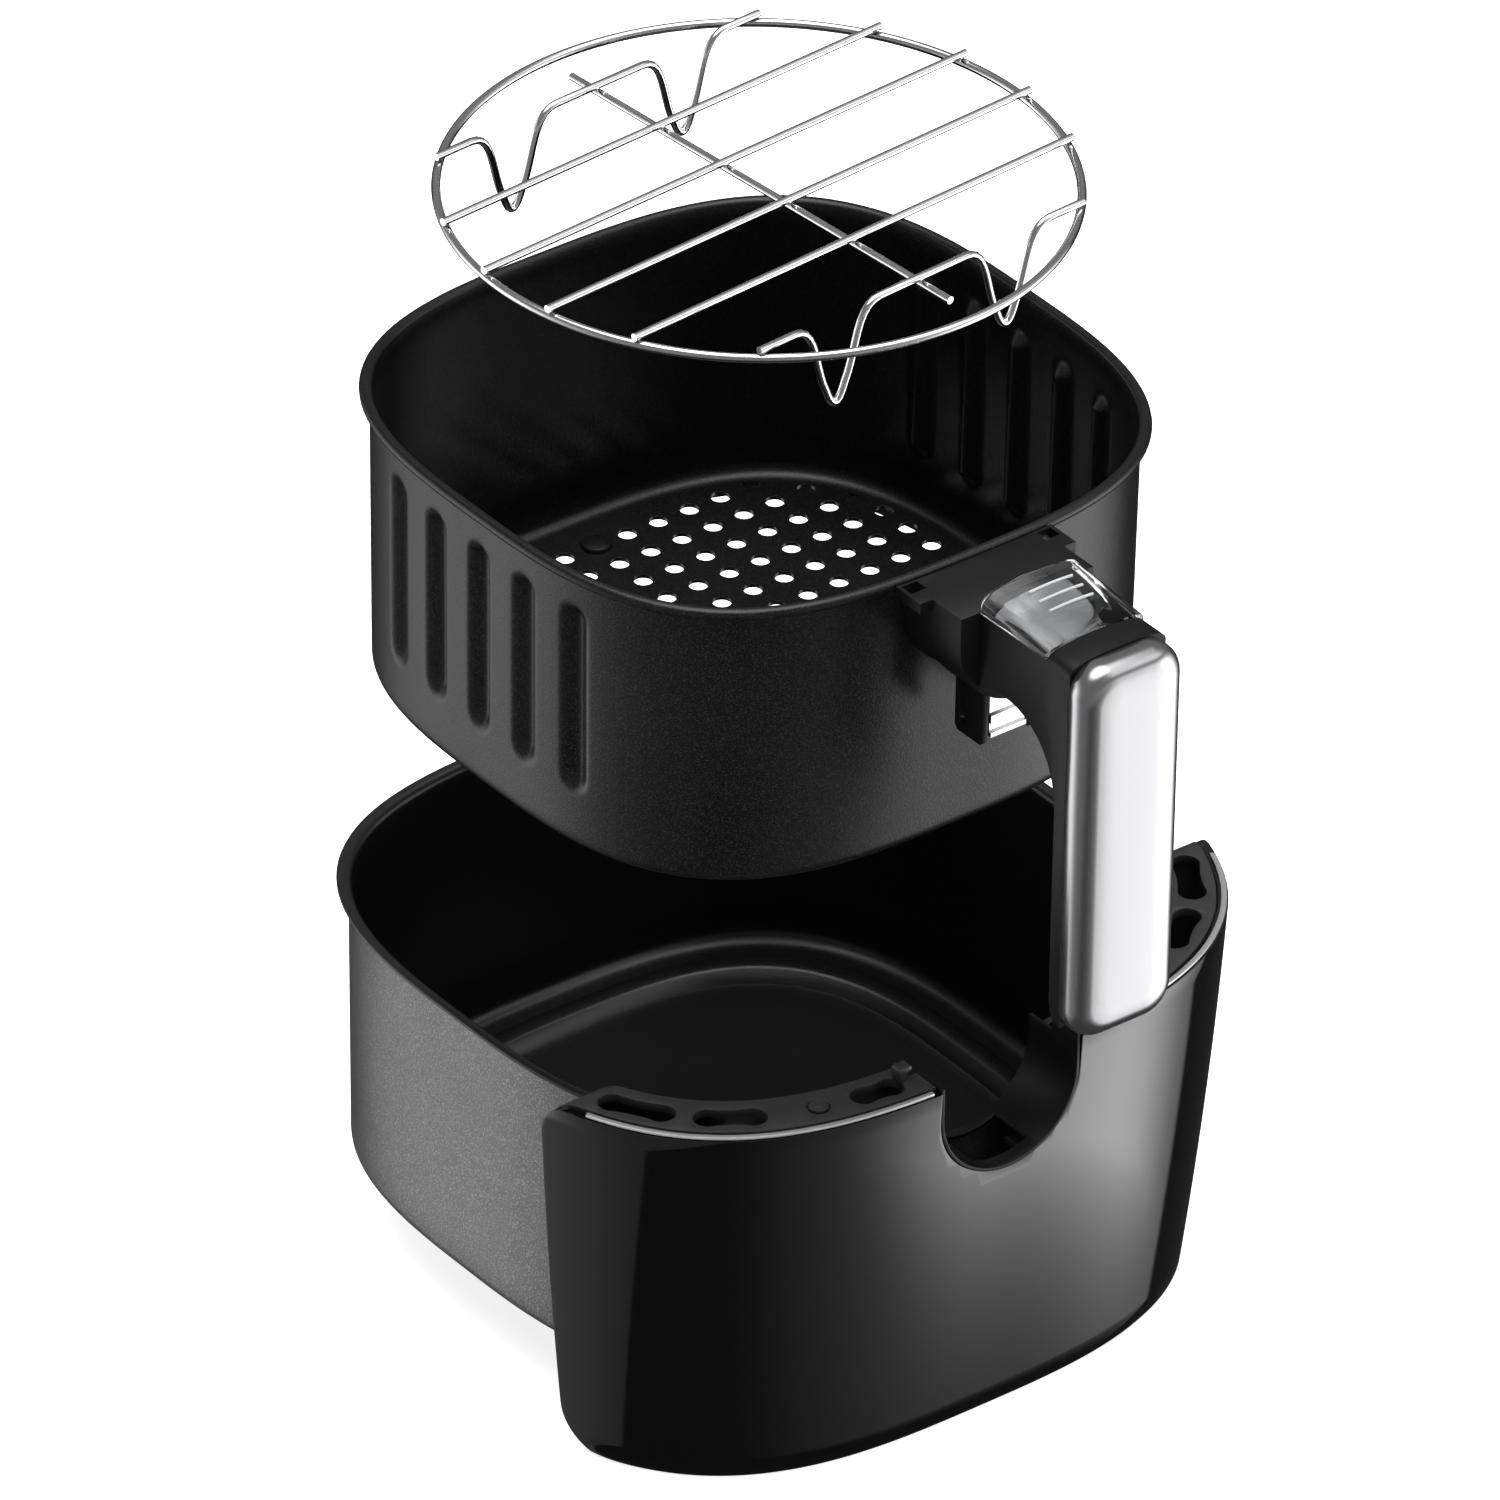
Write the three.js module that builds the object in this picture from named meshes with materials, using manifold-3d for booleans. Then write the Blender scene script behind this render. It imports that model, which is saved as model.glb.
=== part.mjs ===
// Drawer set of an air fryer: a pan with a curved front panel, a perforated basket with
// its handle, and a wire rack, shown pulled apart along the vertical axis.
// Millimetres. +Z is up, the handle points along -Y. The origin is the middle of the pan's
// underside, which the housing's floor carries. Heights in the constants below are measured
// from the underside of the pan's flange, and those of the basket from its rim.
import * as THREE from 'three';
import { mergeVertices } from 'three/addons/utils/BufferGeometryUtils.js';
import Module from 'manifold-3d';

const wasm = await Module();
wasm.setup();

// ---- driving dimensions ----
const GAP = 0.3;                 // clearance between pieces that touch
const SEGMENTS = 48;             // steps round a rounded square

const PAN = {
  rimHalf: 118.5, wallHalf: 115, baseHalf: 114, sheet: 1.2, depth: 102, squareness: 3.0,
  filletRadius: 6, ridgeHalf: 94, ridgeRise: 6, centerRise: 1.2, bossRise: 4,
};
const BASKET = {
  lift: 187.2, seatedDrop: 178, beadHalf: 110.2, beadRadius: 2, wallHalf: 109.2, baseHalf: 108.2,
  sheet: 1.4, depth: 103, squareness: 3.03, filletRadius: 5, floorRise: 6.1, floorHalf: 94,
};
const HOLES = { pitch: 12.6, radius: 3.2, columns: 15, rows: 14, fieldHalf: 93, fieldLimit: 1.12 };
const GROOVE = { spacing: 23, perSide: 5, width: 10, depth: 3, top: -11, bottom: -82 };
const PANEL = {
  topHalf: 138, topHalfY: 139.5, squareness: 3.04, top: 10.2, bottom: -128, skin: 3,
  taper: 0.045, taperCurve: 0.00021, endY: -66.5, topCorner: 10, bottomCorner: 18,
};
const FRAME = { top: 11.2, plate: 3, innerHalf: 119.4, skirt: 2.4, skirtBottom: -3.5, lift: 4,
  ledgeHalf: 121, ledgeTop: -32, ledge: 2 };
const NOTCH = { centerZ: -0.8, radius: 28.2 };
const CRADLE = { outer: 27.9, sheet: 1.2, front: -138.6, back: -113.4, slotHalf: 11 };
const VENT = { angles: [51.5, 39.5, 19.5], lengths: [26, 24, 19], width: 9.6 };
const SCREW_ANGLE = 28;          // degrees from -Y, each side of the notch
const SCREW = { headRadius: 3.2, headHeight: 1.8, shankRadius: 1.5, length: 16 };
const BRACKET = { plugRadius: 26.2, front: -139.5, plateHalf: 30.8, plateFront: -124.8,
  plateTop: 1, plateBottom: -3, tabBottom: -56 };
const ARM = { half: 19, top: 1, bandTop: 5.2, bandBack: -173.4, front: -184.7, gripBack: -179,
  gripBottom: -130 };
const COVER = { half: 20, top: 4.5, bottom: -133, depth: 10, chamfer: 4.4, corner: 9 };
const WELL = { half: 14.6, back: -143, front: -170, floor: -11 };
const BUTTON = { bottom: -2.5, crown: 3.1, stemY: -159.5 };
const GUARD = { half: 19.4, back: -140.5, front: -173, edge: 1.3, backCrown: 9.6, frontCrown: 5.2, sheet: 1.4 };
const LEVER = { pivotY: -130, pivotZ: -16, half: 7, sheet: 2, reach: 30, foot: -54 };
const RACK = {
  rise: 80, drop: 145, turn: 4.5, ringRadius: 101.5, ringWire: 1.5, wire: 1.3,
  wireOffsets: [45, 15, -15, -45], legOffset: 76, legHeight: 28.5, legSpread: 36, legHalf: 18,
  crossHalf: 89,
};

// ---- finishes ----
const finish = (color, roughness, metalness) => ({ color, roughness, metalness });
const COATED_GREY = finish(0x3a3b3d, 0.55, 0.5);
const COATED_BLACK = finish(0x17181a, 0.5, 0.4);
const GLOSS_BLACK = finish(0x050506, 0.06, 0.0);
const FRAME_GREY = finish(0x2c2d2f, 0.6, 0.0);
const MATT_BLACK = finish(0x121213, 0.6, 0.0);
const SILVER = finish(0xc9cacb, 0.4, 0.6);
const CHROME = finish(0xd8d9da, 0.15, 1.0);
const CLEAR = finish(0xe8eef0, 0.05, 0.0);
const STEEL = finish(0x9c9da0, 0.35, 1.0);

// ---- solids ----
// A closed geometry as a manifold solid.
function solid(geometry) {
  const bare = geometry.index ? geometry.toNonIndexed() : geometry.clone();
  for (const name of Object.keys(bare.attributes)) {
    if (name !== 'position') bare.deleteAttribute(name);
  }
  const merged = mergeVertices(bare, 1e-4);
  return new wasm.Manifold(new wasm.Mesh({
    numProp: 3,
    vertProperties: new Float32Array(merged.attributes.position.array),
    triVerts: new Uint32Array(merged.index.array),
  }));
}

// A manifold solid as a geometry.
function geometryOf(body) {
  const mesh = body.getMesh();
  const geometry = new THREE.BufferGeometry();
  geometry.setAttribute('position', new THREE.BufferAttribute(new Float32Array(mesh.vertProperties), 3));
  geometry.setIndex(new THREE.BufferAttribute(new Uint32Array(mesh.triVerts), 1));
  return geometry;
}

const cut = (body, ...tools) => tools.reduce((rest, tool) => rest.subtract(tool), body);
const join = (body, ...others) => others.reduce((rest, other) => rest.add(other), body);

// A box between two corners.
function block(x0, x1, y0, y1, z0, z1) {
  const geometry = new THREE.BoxGeometry(x1 - x0, y1 - y0, z1 - z0);
  geometry.translate((x0 + x1) / 2, (y0 + y1) / 2, (z0 + z1) / 2);
  return solid(geometry);
}

// A rod of radius r about a line along one axis, from one end to the other.
function rod(axis, r, from, to, u, v, sides = 16) {
  const geometry = new THREE.CylinderGeometry(r, r, to - from, sides);
  geometry.translate(0, (from + to) / 2, 0);
  if (axis === 'x') geometry.rotateZ(-Math.PI / 2);
  if (axis === 'z') geometry.rotateX(Math.PI / 2);
  const place = { x: [0, u, v], y: [u, 0, v], z: [u, v, 0] }[axis];
  geometry.translate(...place);
  return solid(geometry);
}

// An outline in X and Z, extruded along Y from y0 to y1.
function alongY(shape, y0, y1, steps = 8) {
  const geometry = new THREE.ExtrudeGeometry(shape, { depth: y1 - y0, bevelEnabled: false, curveSegments: steps });
  geometry.rotateX(Math.PI / 2);
  geometry.translate(0, y1, 0);
  return solid(geometry);
}

// An outline in Y and Z, extruded along X over both halves.
function alongX(shape, half, steps = 8) {
  const geometry = new THREE.ExtrudeGeometry(shape, { depth: 2 * half, bevelEnabled: false, curveSegments: steps });
  geometry.rotateX(Math.PI / 2);
  geometry.rotateZ(Math.PI / 2);
  geometry.translate(-half, 0, 0);
  return solid(geometry);
}

// The point at an angle on a rounded square; angle 0 is -Y, positive turns towards +X.
function roundedSquare(angle, halfX, halfY, power) {
  const s = Math.sin(angle);
  const c = Math.cos(angle);
  const reach = (Math.abs(s / halfX) ** power + Math.abs(c / halfY) ** power) ** (-1 / power);
  return [reach * s, -reach * c];
}

// A closed body from a chain of [half size, z] levels that starts and ends on the axis.
function vessel(levels, power) {
  const positions = [];
  const rings = levels.map(([half, z]) => {
    const start = positions.length / 3;
    if (half === 0) {
      positions.push(0, 0, z);
      return [start];
    }
    const ring = [];
    for (let i = 0; i < SEGMENTS; i += 1) {
      const [x, y] = roundedSquare((i / SEGMENTS) * 2 * Math.PI, half, half, power);
      positions.push(x, y, z);
      ring.push(start + i);
    }
    return ring;
  });
  const index = [];
  for (let k = 0; k + 1 < rings.length; k += 1) {
    const low = rings[k];
    const high = rings[k + 1];
    for (let i = 0; i < SEGMENTS; i += 1) {
      const j = (i + 1) % SEGMENTS;
      if (low.length === 1) index.push(low[0], high[j], high[i]);
      else if (high.length === 1) index.push(low[i], low[j], high[0]);
      else index.push(low[i], low[j], high[j], low[i], high[j], high[i]);
    }
  }
  const geometry = new THREE.BufferGeometry();
  geometry.setAttribute('position', new THREE.BufferAttribute(new Float32Array(positions), 3));
  geometry.setIndex(index);
  return solid(geometry);
}

// A closed curved wall whose section is a ring of [half X, half Y, z] corners.
function sweptWall(section, from, to, steps, power) {
  const flat = section.map(([half, , z]) => new THREE.Vector2(half, z));
  const ring = THREE.ShapeUtils.area(flat) > 0 ? [...section].reverse() : section;
  const outline = ring.map(([half, , z]) => new THREE.Vector2(half, z));
  const size = ring.length;
  const positions = [];
  for (let i = 0; i <= steps; i += 1) {
    const angle = from + ((to - from) * i) / steps;
    for (const [halfX, halfY, z] of ring) {
      const [x, y] = roundedSquare(angle, halfX, halfY, power);
      positions.push(x, y, z);
    }
  }
  const index = [];
  for (let i = 0; i < steps; i += 1) {
    for (let k = 0; k < size; k += 1) {
      const a = i * size + k;
      const b = i * size + ((k + 1) % size);
      index.push(a, b, b + size, a, b + size, a + size);
    }
  }
  const last = steps * size;
  for (const [p, q, r] of THREE.ShapeUtils.triangulateShape(outline, [])) {
    const area = THREE.ShapeUtils.area([outline[p], outline[q], outline[r]]);
    const face = area > 0 ? [p, q, r] : [p, r, q];
    index.push(...face, last + face[0], last + face[2], last + face[1]);
  }
  const geometry = new THREE.BufferGeometry();
  geometry.setAttribute('position', new THREE.BufferAttribute(new Float32Array(positions), 3));
  geometry.setIndex(index);
  return solid(geometry);
}

// The U-shaped outline of the notch, open at the top.
function uShape(radius, top, centerZ = NOTCH.centerZ) {
  const shape = new THREE.Shape();
  shape.moveTo(-radius, top);
  shape.lineTo(-radius, centerZ);
  shape.absarc(0, centerZ, radius, Math.PI, 2 * Math.PI, false);
  shape.lineTo(radius, top);
  shape.closePath();
  return shape;
}

// A closed body between two anticlockwise outlines in X and Z with as many points each.
function loft(frontShape, y0, backShape, y1, steps = 8) {
  const rings = [[frontShape, y0], [backShape, y1]].map(([shape, y]) => {
    const points = shape.getPoints(steps);
    if (points[0].distanceTo(points[points.length - 1]) < 1e-6) points.pop();
    return [points, y];
  });
  const size = rings[0][0].length;
  const positions = rings.flatMap(([points, y]) => points.flatMap(({ x, y: z }) => [x, y, z]));
  const index = [];
  for (let k = 0; k < size; k += 1) {
    const n = (k + 1) % size;
    index.push(n, k, size + k, n, size + k, size + n);
  }
  for (const [p, q, r] of THREE.ShapeUtils.triangulateShape(rings[0][0], [])) {
    index.push(p, q, r, size + p, size + r, size + q);
  }
  const geometry = new THREE.BufferGeometry();
  geometry.setAttribute('position', new THREE.BufferAttribute(new Float32Array(positions), 3));
  geometry.setIndex(index);
  return solid(geometry);
}

// ---- group and pieces ----
const drawer = new THREE.Group();
drawer.position.z = PAN.depth - PAN.centerRise;

// Adds one named piece, lifted by z.
function piece(name, body, look, parent = drawer) {
  const mesh = new THREE.Mesh(geometryOf(body), new THREE.MeshStandardMaterial(look));
  mesh.name = name;
  parent.add(mesh);
  return mesh;
}

// ---- pan ----
function panBody() {
  const p = PAN;
  const r = p.filletRadius;
  const t = p.sheet;
  const bottom = -p.depth;
  const bend = [0.3, 0.7].map((share) => {
    const a = (share * Math.PI) / 2;
    return [p.baseHalf - r * (1 - Math.sin(a)), bottom + r * (1 - Math.cos(a))];
  });
  const body = vessel([
    [0, bottom + p.centerRise], [p.ridgeHalf - 6, bottom + p.centerRise],
    [p.ridgeHalf - 3, bottom + p.ridgeRise], [p.ridgeHalf + 2, bottom + p.ridgeRise],
    [p.ridgeHalf + 6, bottom], [p.baseHalf - r, bottom],
    ...bend, [p.baseHalf, bottom + r],
    [p.wallHalf, 0], [p.rimHalf, 0], [p.rimHalf, t], [p.wallHalf - t, t],
    [p.baseHalf - t, bottom + r], [p.baseHalf - r - t / 2, bottom + t],
    [p.ridgeHalf + 7, bottom + t], [p.ridgeHalf + 2.5, bottom + p.ridgeRise + t],
    [p.ridgeHalf - 3.5, bottom + p.ridgeRise + t], [p.ridgeHalf - 7, bottom + p.centerRise + t],
    [0, bottom + p.centerRise + t],
  ], p.squareness);
  const floor = bottom + p.centerRise + t;
  const boss = rod('z', 12, floor - 0.4, floor + p.bossRise, -66, 0, 24);
  const notch = alongY(uShape(NOTCH.radius, 20), -130, -100, 12);
  return cut(join(body, boss), notch);
}

// ---- front panel ----
const panelHalf = (z) => {
  const depth = PANEL.top + 1 - z;
  return PANEL.topHalf - PANEL.taper * depth - PANEL.taperCurve * depth * depth;
};
const PANEL_LEVELS = [PANEL.top, -25, -60, -95, PANEL.bottom + 3, PANEL.bottom];
const panelInset = (z) => (z === PANEL.bottom ? 1.2 : 0);

// A wall that follows the panel, from an outer to an inner inset and over the given levels.
function panelWall(outerInset, innerInset, levels) {
  const at = (z, inset) => {
    const half = panelHalf(z) - inset - panelInset(z);
    return [half, half + PANEL.topHalfY - PANEL.topHalf, z];
  };
  const outline = [
    ...levels.map((z) => at(z, innerInset)),
    ...[...levels].reverse().map((z) => at(z, outerInset)),
  ];
  const reach = (75 * Math.PI) / 180;
  const wall = sweptWall(outline, -reach, reach, 36, PANEL.squareness);
  const behind = block(-170, 170, PANEL.endY, 60, -200, 60);
  return cut(wall, behind);
}

// The rounded corners of the panel's two ends, as tools to cut with.
function cornerTools(inset) {
  const end = PANEL.endY - inset;
  const tools = [[PANEL.top, PANEL.topCorner, 1], [PANEL.bottom, PANEL.bottomCorner, -1]];
  return tools.map(([z, radius, way]) => {
    const shape = new THREE.Shape();
    shape.moveTo(end + 2, z + 2 * way);
    shape.lineTo(end + 2, z - way * radius);
    shape.absarc(end - radius, z - way * radius, radius, 0, (way * Math.PI) / 2, way < 0);
    shape.lineTo(end - radius, z + 2 * way);
    shape.closePath();
    return alongX(shape, 170);
  });
}

function frontPanel() {
  const skin = panelWall(0, PANEL.skin, PANEL_LEVELS);
  const notch = alongY(uShape(NOTCH.radius, 60), -160, -100, 12);
  return cut(skin, notch, ...cornerTools(0));
}

// The top plate with its vents, the skirt round the pan's rim and the shell behind the skin.
function panelFrame() {
  const inner = FRAME.innerHalf;
  const outer = PANEL.topHalf - PANEL.skin - GAP - 0.3;
  const reach = (75 * Math.PI) / 180;
  const { top } = FRAME;
  const under = top - FRAME.plate;
  const ringWall = (a, b, low, high) => sweptWall(
    [[a, a, high], [a, a, low], [b, b + 1.5, low], [b, b + 1.5, high]],
    -reach, reach, 36, PANEL.squareness,
  );
  const plate = ringWall(inner, outer, under, top);
  const skirt = ringWall(inner, inner + FRAME.skirt, FRAME.skirtBottom, under + 0.5);
  const levels = [under + 0.5, -25, -60, -95, PANEL.bottom + FRAME.lift];
  const ledge = ringWall(FRAME.ledgeHalf, FRAME.ledgeHalf + 10, FRAME.ledgeTop - FRAME.ledge, FRAME.ledgeTop);
  const shell = panelWall(PANEL.skin + GAP, PANEL.skin + GAP + FRAME.skirt, levels);
  const behind = block(-170, 170, PANEL.endY - 0.6, 60, -200, 60);
  const notch = alongY(uShape(NOTCH.radius, 60), -160, -100, 12);
  const vents = VENT.angles.flatMap((angle, i) => [-1, 1].map((side) => ventTool(side * angle, VENT.lengths[i])));
  const pockets = [-1, 1].flatMap((side) => {
    const [x, y] = screwPlace(side);
    return [rod('z', SCREW.headRadius + 0.8, top - 1.6, top + 2, x, y),
      rod('z', SCREW.shankRadius + GAP, -40, top, x, y)];
  });
  const latchRecess = block(-12, 12, -137, -120, -52, -20);
  const tools = [behind, notch, plateRecess(), latchRecess, ...vents, ...pockets, ...cornerTools(0.6)];
  return cut(join(plate, skirt, shell, ledge), ...tools);
}

// The middle line of the frame's top plate.
function plateMiddle(degrees) {
  const angle = (degrees * Math.PI) / 180;
  const half = (FRAME.innerHalf + PANEL.topHalf - PANEL.skin) / 2;
  return roundedSquare(angle, half, half + 0.8, PANEL.squareness);
}
const screwPlace = (side) => plateMiddle(side * SCREW_ANGLE);

// A long slot that lies along the plate, as a tool to cut with.
function ventTool(degrees, length) {
  const [x, y] = plateMiddle(degrees);
  const [x2, y2] = plateMiddle(degrees + 1);
  const r = VENT.width / 2;
  const shape = new THREE.Shape();
  const straight = length / 2 - r;
  shape.absarc(straight, 0, r, -Math.PI / 2, Math.PI / 2, false);
  shape.absarc(-straight, 0, r, Math.PI / 2, Math.PI * 1.5, false);
  const geometry = new THREE.ExtrudeGeometry(shape, { depth: 10, bevelEnabled: false, curveSegments: 5 });
  geometry.rotateZ(Math.atan2(y2 - y, x2 - x));
  geometry.translate(x, y, FRAME.top - 6);
  return solid(geometry);
}

// The bright strip on the top edge of the skin, on one side of the notch.
function panelTrim(side) {
  const z = PANEL.top + GAP;
  const a = PANEL.topHalf - 2.2;
  const b = PANEL.topHalf - 0.5;
  const from = (12.6 * Math.PI) / 180;
  const to = (57 * Math.PI) / 180;
  return sweptWall(
    [[a, a + 1.5, z + 1], [a, a + 1.5, z], [b, b + 1.5, z], [b, b + 1.5, z + 1]],
    side > 0 ? from : -to, side > 0 ? to : -from, 20, PANEL.squareness,
  );
}

// The gutter that lines the notch, with a slot for the latch in its bottom.
function cradle() {
  const c = CRADLE;
  const gutter = cut(
    alongY(uShape(c.outer, FRAME.top), c.front, c.back, 12),
    alongY(uShape(c.outer - c.sheet, 60), c.front - 5, c.back + 5, 12),
  );
  const slot = block(-c.slotHalf, c.slotHalf, -133, -117, -40, -18);
  const skinFace = outside(PANEL.topHalf - 0.4, PANEL.topHalfY - 0.4);
  return cut(gutter, slot, skinFace, plateRecess());
}

// The step that the bracket's top plate drops into, as a tool to cut with.
function plateRecess() {
  return block(-32.6, 32.6, BRACKET.plateFront - 0.5, -100, 5.4, 20);
}

// Everything outside a rounded square at the front, as a tool to cut with.
function outside(halfX, halfY) {
  const z0 = -60;
  const z1 = 40;
  const reach = (25 * Math.PI) / 180;
  return sweptWall(
    [[halfX, halfY, z1], [halfX, halfY, z0], [halfX + 20, halfY + 20, z0], [halfX + 20, halfY + 20, z1]],
    -reach, reach, 16, PANEL.squareness,
  );
}

// A hook-shaped clip that stands beside the notch and guides the handle's block.
function cradleClip(side) {
  const x0 = 33.2;
  const foot = block(x0, x0 + 3, -127, -122.6, FRAME.top + GAP, FRAME.top + 5);
  const hook = block(x0 - 2, x0 + 3, -127, -122.6, FRAME.top + 3, FRAME.top + 5);
  return mirrored(join(foot, hook), side);
}

// The same solid, or its mirror image in X.
function mirrored(body, side) {
  if (side > 0) return body;
  const mesh = body.getMesh();
  const positions = new Float32Array(mesh.vertProperties);
  for (let i = 0; i < positions.length; i += 3) positions[i] *= -1;
  const faces = new Uint32Array(mesh.triVerts);
  for (let i = 0; i < faces.length; i += 3) [faces[i], faces[i + 1]] = [faces[i + 1], faces[i]];
  const geometry = new THREE.BufferGeometry();
  geometry.setAttribute('position', new THREE.BufferAttribute(positions, 3));
  geometry.setIndex(new THREE.BufferAttribute(faces, 1));
  return solid(geometry);
}

// The strap under the pan's flange that takes one panel screw.
function panStrap(side) {
  const a = PAN.wallHalf + GAP + 0.4;
  const [x, y] = screwPlace(1);
  const from = (16 * Math.PI) / 180;
  const to = (40 * Math.PI) / 180;
  const strap = sweptWall(
    [[a, a, -6], [a, a, -9], [a + 15, a + 15, -9], [a + 15, a + 15, -6]],
    from, to, 10, PANEL.squareness,
  );
  return mirrored(cut(strap, rod('z', SCREW.shankRadius + GAP, -20, 0, x, y)), side);
}

// A countersunk screw standing on its head's place.
function screwAt(x, y, headTop) {
  const s = SCREW;
  const head = rod('z', s.headRadius, headTop - s.headHeight, headTop, x, y);
  const shank = rod('z', s.shankRadius, headTop - s.length, headTop - s.headHeight / 2, x, y, 12);
  const slot = block(x - 2.2, x + 2.2, y - 0.4, y + 0.4, headTop - 0.8, headTop + 1);
  const cross = block(x - 0.4, x + 0.4, y - 2.2, y + 2.2, headTop - 0.8, headTop + 1);
  return cut(join(head, shank), slot, cross);
}

// The steel catch that the latch's foot passes, below the cradle's slot.
function latchCatch() {
  const z = NOTCH.centerZ - CRADLE.outer - GAP;
  return block(-8, 8, -133.4, -132.2, z - 9, z);
}

// ---- basket ----
function basketBody() {
  const b = BASKET;
  const t = b.sheet;
  const r = b.filletRadius;
  const bottom = -b.depth;
  const floorUnder = bottom + b.floorRise;
  const bead = [];
  for (let i = 0; i <= 6; i += 1) {
    const a = (-0.75 + (1.5 * i) / 6) * Math.PI;
    bead.push([b.beadHalf + b.beadRadius * Math.cos(a), b.beadRadius * Math.sin(a)]);
  }
  const shell = vessel([
    [0, floorUnder], [b.floorHalf, floorUnder], [b.floorHalf + 3.5, bottom],
    [b.baseHalf - r, bottom], [b.baseHalf - 0.29 * r, bottom + 0.29 * r], [b.baseHalf, bottom + r],
    [b.wallHalf, -b.beadRadius * 1.3],
    ...bead.slice(1, -1),
    [b.wallHalf - t, -b.beadRadius * 0.9],
    [b.baseHalf - t, bottom + r], [b.baseHalf - r + 0.6, bottom + t],
    [b.floorHalf + 4, bottom + t], [b.floorHalf, floorUnder + t], [0, floorUnder + t],
  ], b.squareness);
  const grooved = pressGrooves(shell);
  const holes = floorHoles(floorUnder, floorUnder + t);
  const rivets = [-1, 1].map((side) => rod('y', 2 + GAP, -114, -100, side * 11, -16, 10));
  return cut(grooved, holes, ...rivets);
}

// The upright grooves pressed into the two side walls.
function pressGrooves(shell) {
  const g = GROOVE;
  let body = shell;
  const first = -((g.perSide - 1) / 2) * g.spacing;
  const places = [];
  for (let i = 0; i < g.perSide; i += 1) {
    for (const side of [-1, 1]) places.push([side, first + i * g.spacing]);
  }
  for (const [side, y] of places) {
    body = body.add(grooveBar(side, y, g.width + 2 * BASKET.sheet, -BASKET.sheet - g.depth, -0.7));
  }
  for (const [side, y] of places) {
    body = body.subtract(grooveBar(side, y, g.width, -g.depth, 6));
  }
  return body;
}

// A round-ended upright bar across the side wall, from one depth to another outside it.
function grooveBar(side, y, width, from, to) {
  const g = GROOVE;
  const b = BASKET;
  const half = b.wallHalf - 0.5;
  const x = half * (1 - (Math.abs(y) / half) ** b.squareness) ** (1 / b.squareness);
  const slope = (Math.abs(y) / x) ** (b.squareness - 1) * Math.sign(y);
  const r = width / 2;
  const extra = (width - g.width) / 2;
  const shape = new THREE.Shape();
  shape.absarc(0, g.top + extra - r, r, 0, Math.PI, false);
  shape.absarc(0, g.bottom - extra + r, r, Math.PI, 2 * Math.PI, false);
  const geometry = new THREE.ExtrudeGeometry(shape, { depth: to - from, bevelEnabled: false, curveSegments: 4 });
  geometry.rotateX(Math.PI / 2);
  geometry.translate(0, -from, 0);
  geometry.rotateZ(side > 0 ? Math.PI / 2 + Math.atan(slope) : -Math.PI / 2 - Math.atan(slope));
  geometry.translate(side * x, y, 0);
  return solid(geometry);
}

// The drain holes in the raised floor, as one tool to cut with.
function floorHoles(low, high) {
  const h = HOLES;
  const positions = [];
  const index = [];
  const sides = 6;
  for (let i = 0; i < h.columns; i += 1) {
    for (let j = 0; j < h.rows; j += 1) {
      const x = (i - (h.columns - 1) / 2) * h.pitch;
      const y = (j - (h.rows - 1) / 2) * h.pitch;
      const place = (Math.abs(x) ** 3 + Math.abs(y) ** 3) / h.fieldHalf ** 3;
      const boss = x === 0 && (j === 0 || j === h.rows - 1);
      if (place > h.fieldLimit || boss) continue;
      const start = positions.length / 3;
      for (const z of [low - 1, high + 1]) {
        for (let k = 0; k < sides; k += 1) {
          const a = (k / sides) * 2 * Math.PI;
          positions.push(x + h.radius * Math.cos(a), y + h.radius * Math.sin(a), z);
        }
      }
      for (let k = 0; k < sides; k += 1) {
        const n = (k + 1) % sides;
        index.push(start + k, start + n, start + sides + n, start + k, start + sides + n, start + sides + k);
        if (k > 0 && k < sides - 1) {
          index.push(start, start + k + 1, start + k, start + sides, start + sides + k, start + sides + k + 1);
        }
      }
    }
  }
  const geometry = new THREE.BufferGeometry();
  geometry.setAttribute('position', new THREE.BufferAttribute(new Float32Array(positions), 3));
  geometry.setIndex(index);
  return solid(geometry);
}

// ---- handle ----
// The block that grips the basket's wall and drops into the cradle.
function handleBracket() {
  const b = BRACKET;
  const plugCenter = NOTCH.centerZ - (BASKET.lift - BASKET.seatedDrop);
  const plug = alongY(uShape(b.plugRadius, b.plateTop, plugCenter), b.front, -100, 12);
  const plate = block(-b.plateHalf, b.plateHalf, b.plateFront, -100, b.plateBottom, b.plateTop);
  const tabs = [-1, 1].flatMap((side) => {
    const x0 = side > 0 ? 8.5 : -10.5;
    const lug = block(x0, x0 + 2, -132.3, -118, b.tabBottom, -30);
    return cut(lug, rod('x', 1.6, -12, 12, -122, b.tabBottom + 5, 10));
  });
  const wall = vesselCore(BASKET.wallHalf + GAP, BASKET.squareness);
  const bay = block(-8, 8, -136.5, -119, -60, -8);
  const channel = block(-5, 5, b.front - 1, -136, -20.6, -12);
  const windows = [-1, 1].map((side) => block(side * 26.5 - 3, side * 26.5 + 3, -118.5, -113.5, -5, 3));
  const recesses = [-1, 1].map((side) => block(side * 19.5 - 4, side * 19.5 + 4, -124, -114, -60, b.plateBottom - 3));
  const pin = rod('x', 1.5 + GAP, -12, 12, LEVER.pivotY, LEVER.pivotZ, 12);
  const rivets = [-1, 1].map((side) => rod('y', 2 + GAP, -114, -100, side * 11, -16, 10));
  const tools = [wall, bay, channel, pin, ...windows, ...recesses, ...rivets];
  return cut(join(plug, plate, ...tabs), ...tools);
}

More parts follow.
